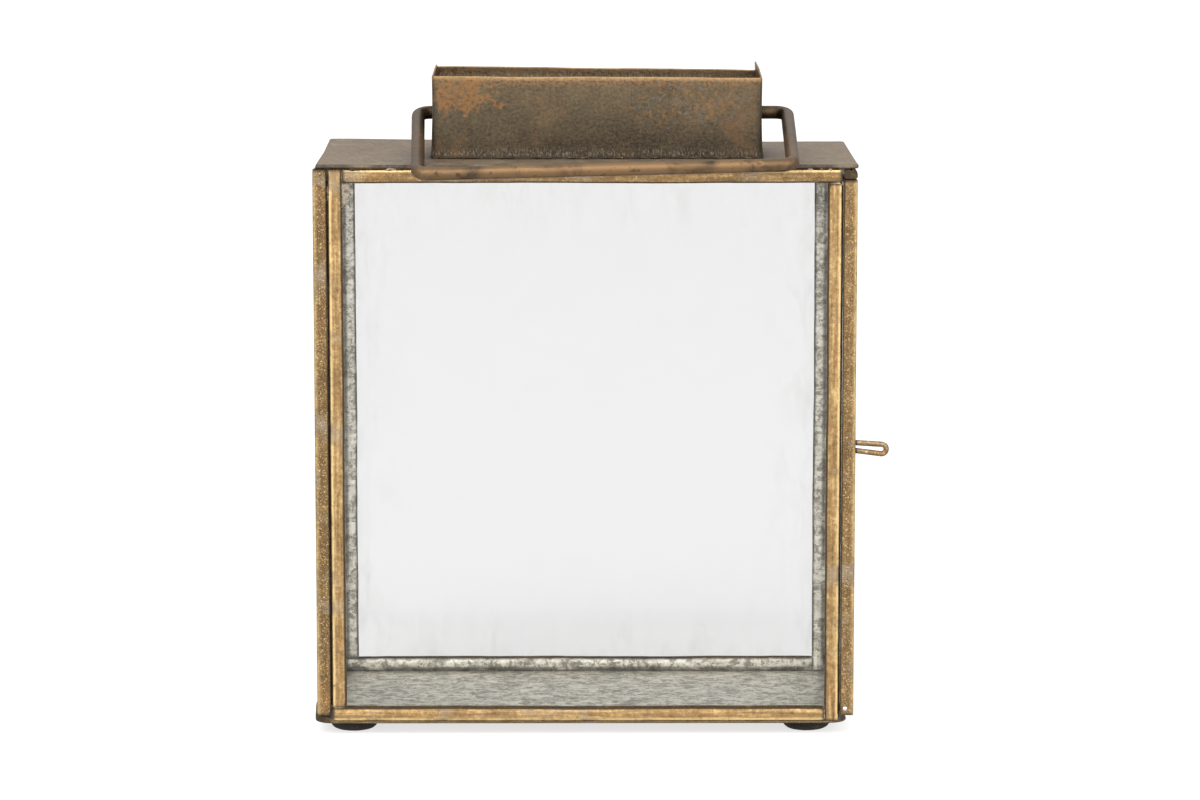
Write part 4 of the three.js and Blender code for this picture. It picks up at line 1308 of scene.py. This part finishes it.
class LANTERN_OT_handle(bpy.types.Operator):
    """Bend the wire handle"""

    bl_idname = "lantern.handle"
    bl_label = "Handle"

    def execute(self, context):
        """A round wire bent at four corners, with a faintly uneven radius, a dimple on the grip, and its
        ends inside the chimney."""
        size = sizes()
        low, high = box("handle")
        wrap_low, wrap_high = box("chimney_wrap")
        pivot = np.array(joint("handle_swing")["pos_m"])
        r = size.wire
        stub = 6.5 * MM
        grip_y = low[1] + r
        left, right = low[0] + r, high[0] - r
        grip_z = low[2] + r
        slope = 3.05 * MM
        corners = np.array([
            (wrap_low[0] + stub, pivot[1], pivot[2]),
            (left, pivot[1], pivot[2]),
            (left + 1.9 * MM, grip_y + 0.68 * MM, grip_z),
            (right - 0.7 * MM, grip_y, grip_z + slope),
            (right, pivot[1], pivot[2]),
            (wrap_high[0] - stub, pivot[1], pivot[2]),
        ])
        line, s = bent_wire(corners, r, size.wire_bend, 0.45 * MM)
        sides = 32
        uneven = 0.985 + 0.012 * wander(s, 200, 0.03)
        end = np.minimum(s, s[-1] - s)
        rounding = np.sqrt(np.clip(1 - (1 - np.clip(end / (0.5 * MM), 0, 1)) ** 2, 0.02, 1))
        points = wire_rings(line, r * uneven * rounding, sides, np.array([0.0, 0.35, 1.0]))
        dimple = np.array([right - 11.5 * MM, grip_y - 0.82 * r, grip_z + slope + 0.45 * r])
        reach = np.linalg.norm(points - dimple, axis=-1)
        inward = line[:, None, :] - points
        inward /= np.linalg.norm(inward, axis=-1)[..., None] + 1e-9
        points = points + (0.5 * MM * np.exp(-((reach / (0.75 * MM)) ** 2)))[..., None] * inward
        grip = step(pivot[1] - points[..., 1], 0.02, 0.045)
        worn = 0.25 + 0.75 * grip * step(s[-1] / 2 - np.abs(s - s[-1] / 2), 0.05, 0.1)[:, None]
        x, y = points[..., 0], points[..., 1]
        # Painted shadow: the wire is darkened where its ends go into the chimney's walls.
        from_wall = np.minimum(np.abs(x - wrap_low[0]), np.abs(x - wrap_high[0]))
        painted_wall_shadow = np.exp(-((from_wall / (1.6 * MM)) ** 2)) * (np.abs(y - pivot[1]) < 1.3 * r)
        round_it = np.linspace(0, 2 * np.pi * r, sides, endpoint=False)
        uv = unrolled(s, round_it)
        piece("wire_handle", points, [wire_brass()], "handle", ("handle",), uv=uv,
              marks={"wear_and_highlight": worn, "grime_and_shade": 0.8 * painted_wall_shadow}, sharp=50)
        return {"FINISHED"}


class LANTERN_OT_fittings(bpy.types.Operator):
    """Make the door's pull, its rivet and the hinge rod"""

    bl_idname = "lantern.fittings"
    bl_label = "Pull, rivet and hinge rod"

    def execute(self, context):
        self.build_pull()
        self.build_rivet()
        self.build_hinge()
        return {"FINISHED"}

    def build_pull(self):
        """A hairpin of wire: two legs and a half-round end a little wider than they are, drooping."""
        r = sizes().pull_wire
        low, high = box("door_pull")
        y = (low[1] + high[1]) / 2
        droop, loop = 0.9 * MM, 1.6 * MM
        root_z = (high[2] + low[2]) / 2 + droop / 2
        spread = 1.3 * MM
        end = np.array([high[0] - r - loop, y, root_z - droop])
        turn = np.radians(np.linspace(88, -88, 26))
        bow_x, bow_z = end[0] + loop * np.cos(turn), end[2] + loop * np.sin(turn)
        bow = np.stack([bow_x, np.full_like(turn, y), bow_z], 1)
        top = np.linspace((low[0], y, root_z + spread), bow[0], 40)[:-1]
        bottom = np.linspace(bow[-1], (low[0], y, root_z - spread), 40)[1:]
        line = np.concatenate([top, bow, bottom])
        s = around(line[None])[0]
        points = wire_rings(line, r * (0.985 + 0.015 * wander(s, 300, 0.01)), 20, Y)
        uv = unrolled(s, np.linspace(0, 6 * MM, 20))
        root = 1 - step(points[..., 0] - low[0], 0.6 * MM, 2.0 * MM)
        piece("hairpin_pull", points, [channel_brass(0.7)], "door", ("door_pull",), uv=uv,
              marks={"wear_and_highlight": 0 * root, "grime_and_shade": root}, sharp=50)

    def build_rivet(self):
        """A domed head on a short shank, turned about its axis."""
        low, high = box("door_corner_rivet")
        middle = (low + high) / 2
        face = box("door_front_channel")[0][1]
        radius = (high[0] - low[0]) / 2
        dome = arc((0, 0), 1.0, 2, 88, 12)[::-1] * np.array([radius, 0.6 * MM])
        shank, root = 0.5 * MM, face - high[1]
        neck = [(radius * 0.98, -0.04 * MM), (shank, -0.05 * MM), (shank, root), (0.01 * MM, root)]
        profile = np.concatenate([dome, neck])
        x, z, out = np.moveaxis(turned(profile[:, :1], profile[:, 1:], 40), -1, 0)
        points = np.stack([middle[0] + x, face - out, middle[2] + z], -1)
        piece("rivet_head", points, [steel()], "door", ("door_corner_rivet",), sharp=45)

    def build_hinge(self):
        """The rod up the rear of the door, with a rounded top and bottom."""
        low, high = box("hinge_rod")
        middle, radius = (low + high) / 2, (high[0] - low[0]) / 2
        z = np.linspace(low[2], high[2], 80)
        end = np.minimum(z - low[2], high[2] - z)
        r = radius * np.sqrt(np.clip(1 - (1 - np.clip(end / (0.5 * MM), 0, 1)) ** 2, 0.03, 1))
        sides = 20
        points = np.array([middle[0], middle[1], 0]) + turned(r[:, None], z[:, None], sides)
        uv = unrolled(z, np.linspace(0, 2 * np.pi * radius, sides, endpoint=False))
        flat = np.zeros(points.shape[:2])
        marks = {"wear_and_highlight": flat, "grime_and_shade": flat + 0.3}
        piece("hinge_wire", points, [channel_brass(0.8)], "lantern_body", ("hinge_rod",),
              uv=uv, marks=marks, sharp=50)


# ---------------------------------------------------------------- stage


class LANTERN_OT_stage(bpy.types.Operator):
    """Lay the pale floor, set the soft lights and place the camera"""

    bl_idname = "lantern.stage"
    bl_label = "Stage"

    def execute(self, context):
        self.lay_floor()
        self.light_world(context.scene)
        self.hang_lights(context.scene)
        self.place_camera(context.scene)
        context.scene.view_settings.view_transform = "Standard"
        return {"FINISHED"}

    def lay_floor(self):
        """A level square, far wider than the view, that glows a little, like a light table."""
        reach = 40.0
        side = np.linspace(-reach, reach, 9)
        x, y = np.meshgrid(side, side)
        points = np.stack([x, y, np.zeros_like(x)], -1)
        mesh = bpy.data.meshes.new("floor")
        mesh.from_pydata(points.reshape(-1, 3).tolist(), [], grid_faces(9, 9, False, False).tolist())
        floor = bpy.data.objects.new("studio_floor", mesh)
        bpy.context.scene.collection.objects.link(floor)
        glow = {"Emission_Color": (1, 1, 1, 1), "Emission_Strength": 0.7}
        f = Finish("floor_paper", Metallic=0.0, Specular_IOR_Level=0.1, **glow)
        tone = colours().floor
        grain = f.noise(f.place(), 30, 3)
        base = f.ramp(grain, (0.3, [0.985 * v for v in tone]), (0.7, tone))
        mesh.materials.append(f.finish(base, f.spread(grain, 0.85, 0.95)))

    def light_world(self, scene):
        """White to look at. As light it is a studio: bright overhead and in front, dimmer round the
        sides and the back."""
        world = bpy.data.worlds.new("studio")
        world.use_nodes = True
        n = Nodes(world.node_tree)
        n.tree.nodes.clear()
        direction = n.node("TexCoord", output="Generated")
        facing = n.node("SeparateXYZ", {0: direction}, output="Y")
        height = n.node("SeparateXYZ", {0: direction}, output="Z")
        ahead = {"Value": facing, "From Min": 0.1, "From Max": -0.9, "To Min": 0.0, "To Max": 2.1}
        front = n.node("MapRange", ahead, interpolation_type="SMOOTHSTEP")
        above = {"Value": height, "From Min": 0.05, "From Max": 0.9, "To Min": 0.5, "To Max": 1.5}
        over = n.node("MapRange", above, interpolation_type="SMOOTHSTEP")
        studio = n.node("Math", {0: front, 1: over}, operation="ADD")
        seen = n.node("LightPath", output="Is Camera Ray")
        strength = n.node("Mix", {"Factor": seen, 2: studio, 3: 1.0})
        background = n.node("Background", {"Color": (1, 1, 1), "Strength": strength}, output="Background")
        output = n.tree.nodes.new("ShaderNodeOutputWorld")
        n.feed(output.inputs["Surface"], background)
        scene.world = world

    def hang_lights(self, scene):
        """Two large soft boxes, one high in front on the left and a weaker one on the right, both aimed
        at the middle of the lantern."""
        aim = Vector((0, 0, 0.12))
        for name, place, wide, power in (
            ("key_box", (-0.9, -1.3, 1.5), 1.1, 20.0),
            ("fill_box", (1.3, -1.0, 0.9), 0.9, 8.0),
        ):
            data = bpy.data.lights.new(name, "AREA")
            data.size, data.energy = wide, power
            lamp = bpy.data.objects.new(name, data)
            lamp.location = place
            lamp.rotation_mode = "QUATERNION"
            lamp.rotation_quaternion = (aim - Vector(place)).to_track_quat("-Z", "Y")
            scene.collection.objects.link(lamp)

    def place_camera(self, scene):
        """A long lens a little above the lantern and square to its front."""
        left, right = box("front_left_channel")[0][0], box("front_right_channel")[1][0]
        front, bottom = box("front_top_channel")[0][1], box("base_sheet")[0][2]
        off_centre, distance, eye_height = -0.0006, 1.4338, 0.3258
        tilt_down, turn = 8.578, -0.219
        data = bpy.data.cameras.new("camera")
        data.sensor_width, data.lens = 36.0, 131.3
        data.clip_start, data.clip_end = 0.05, 200
        camera = bpy.data.objects.new("camera", data)
        camera.location = ((left + right) / 2 + off_centre, front - distance, bottom + eye_height)
        camera.rotation_euler = (math.radians(90 - tilt_down), 0, math.radians(turn))
        scene.collection.objects.link(camera)
        scene.camera = camera


# ---------------------------------------------------------------- add-on

STEPS = (
    LANTERN_OT_face_panels,
    LANTERN_OT_end_panels,
    LANTERN_OT_panes,
    LANTERN_OT_base,
    LANTERN_OT_feet,
    LANTERN_OT_top_plate,
    LANTERN_OT_chimney,
    LANTERN_OT_solder,
    LANTERN_OT_handle,
    LANTERN_OT_fittings,
    LANTERN_OT_stage,
)


class LANTERN_PT_panel(bpy.types.Panel):
    """Lists the lantern's sizes, colours and building steps"""

    bl_idname = "LANTERN_PT_panel"
    bl_label = "Candle lantern"
    bl_space_type = "VIEW_3D"
    bl_region_type = "UI"
    bl_category = "Lantern"

    def draw(self, context):
        layout = self.layout
        for group in (context.scene.lantern_sizes, context.scene.lantern_colours):
            column = layout.column(align=True)
            for name in group.__annotations__:
                column.prop(group, name)
        for operator in STEPS:
            layout.operator(operator.bl_idname)


CLASSES = (LanternSizes, LanternColours, *STEPS, LANTERN_PT_panel)


def register():
    for cls in CLASSES:
        bpy.utils.register_class(cls)
    bpy.types.Scene.lantern_sizes = PointerProperty(type=LanternSizes)
    bpy.types.Scene.lantern_colours = PointerProperty(type=LanternColours)


def unregister():
    del bpy.types.Scene.lantern_colours
    del bpy.types.Scene.lantern_sizes
    for cls in reversed(CLASSES):
        bpy.utils.unregister_class(cls)


def main():
    register()
    for operator in STEPS:
        group, name = operator.bl_idname.split(".")
        getattr(getattr(bpy.ops, group), name)()


if __name__ == "__main__":
    main()
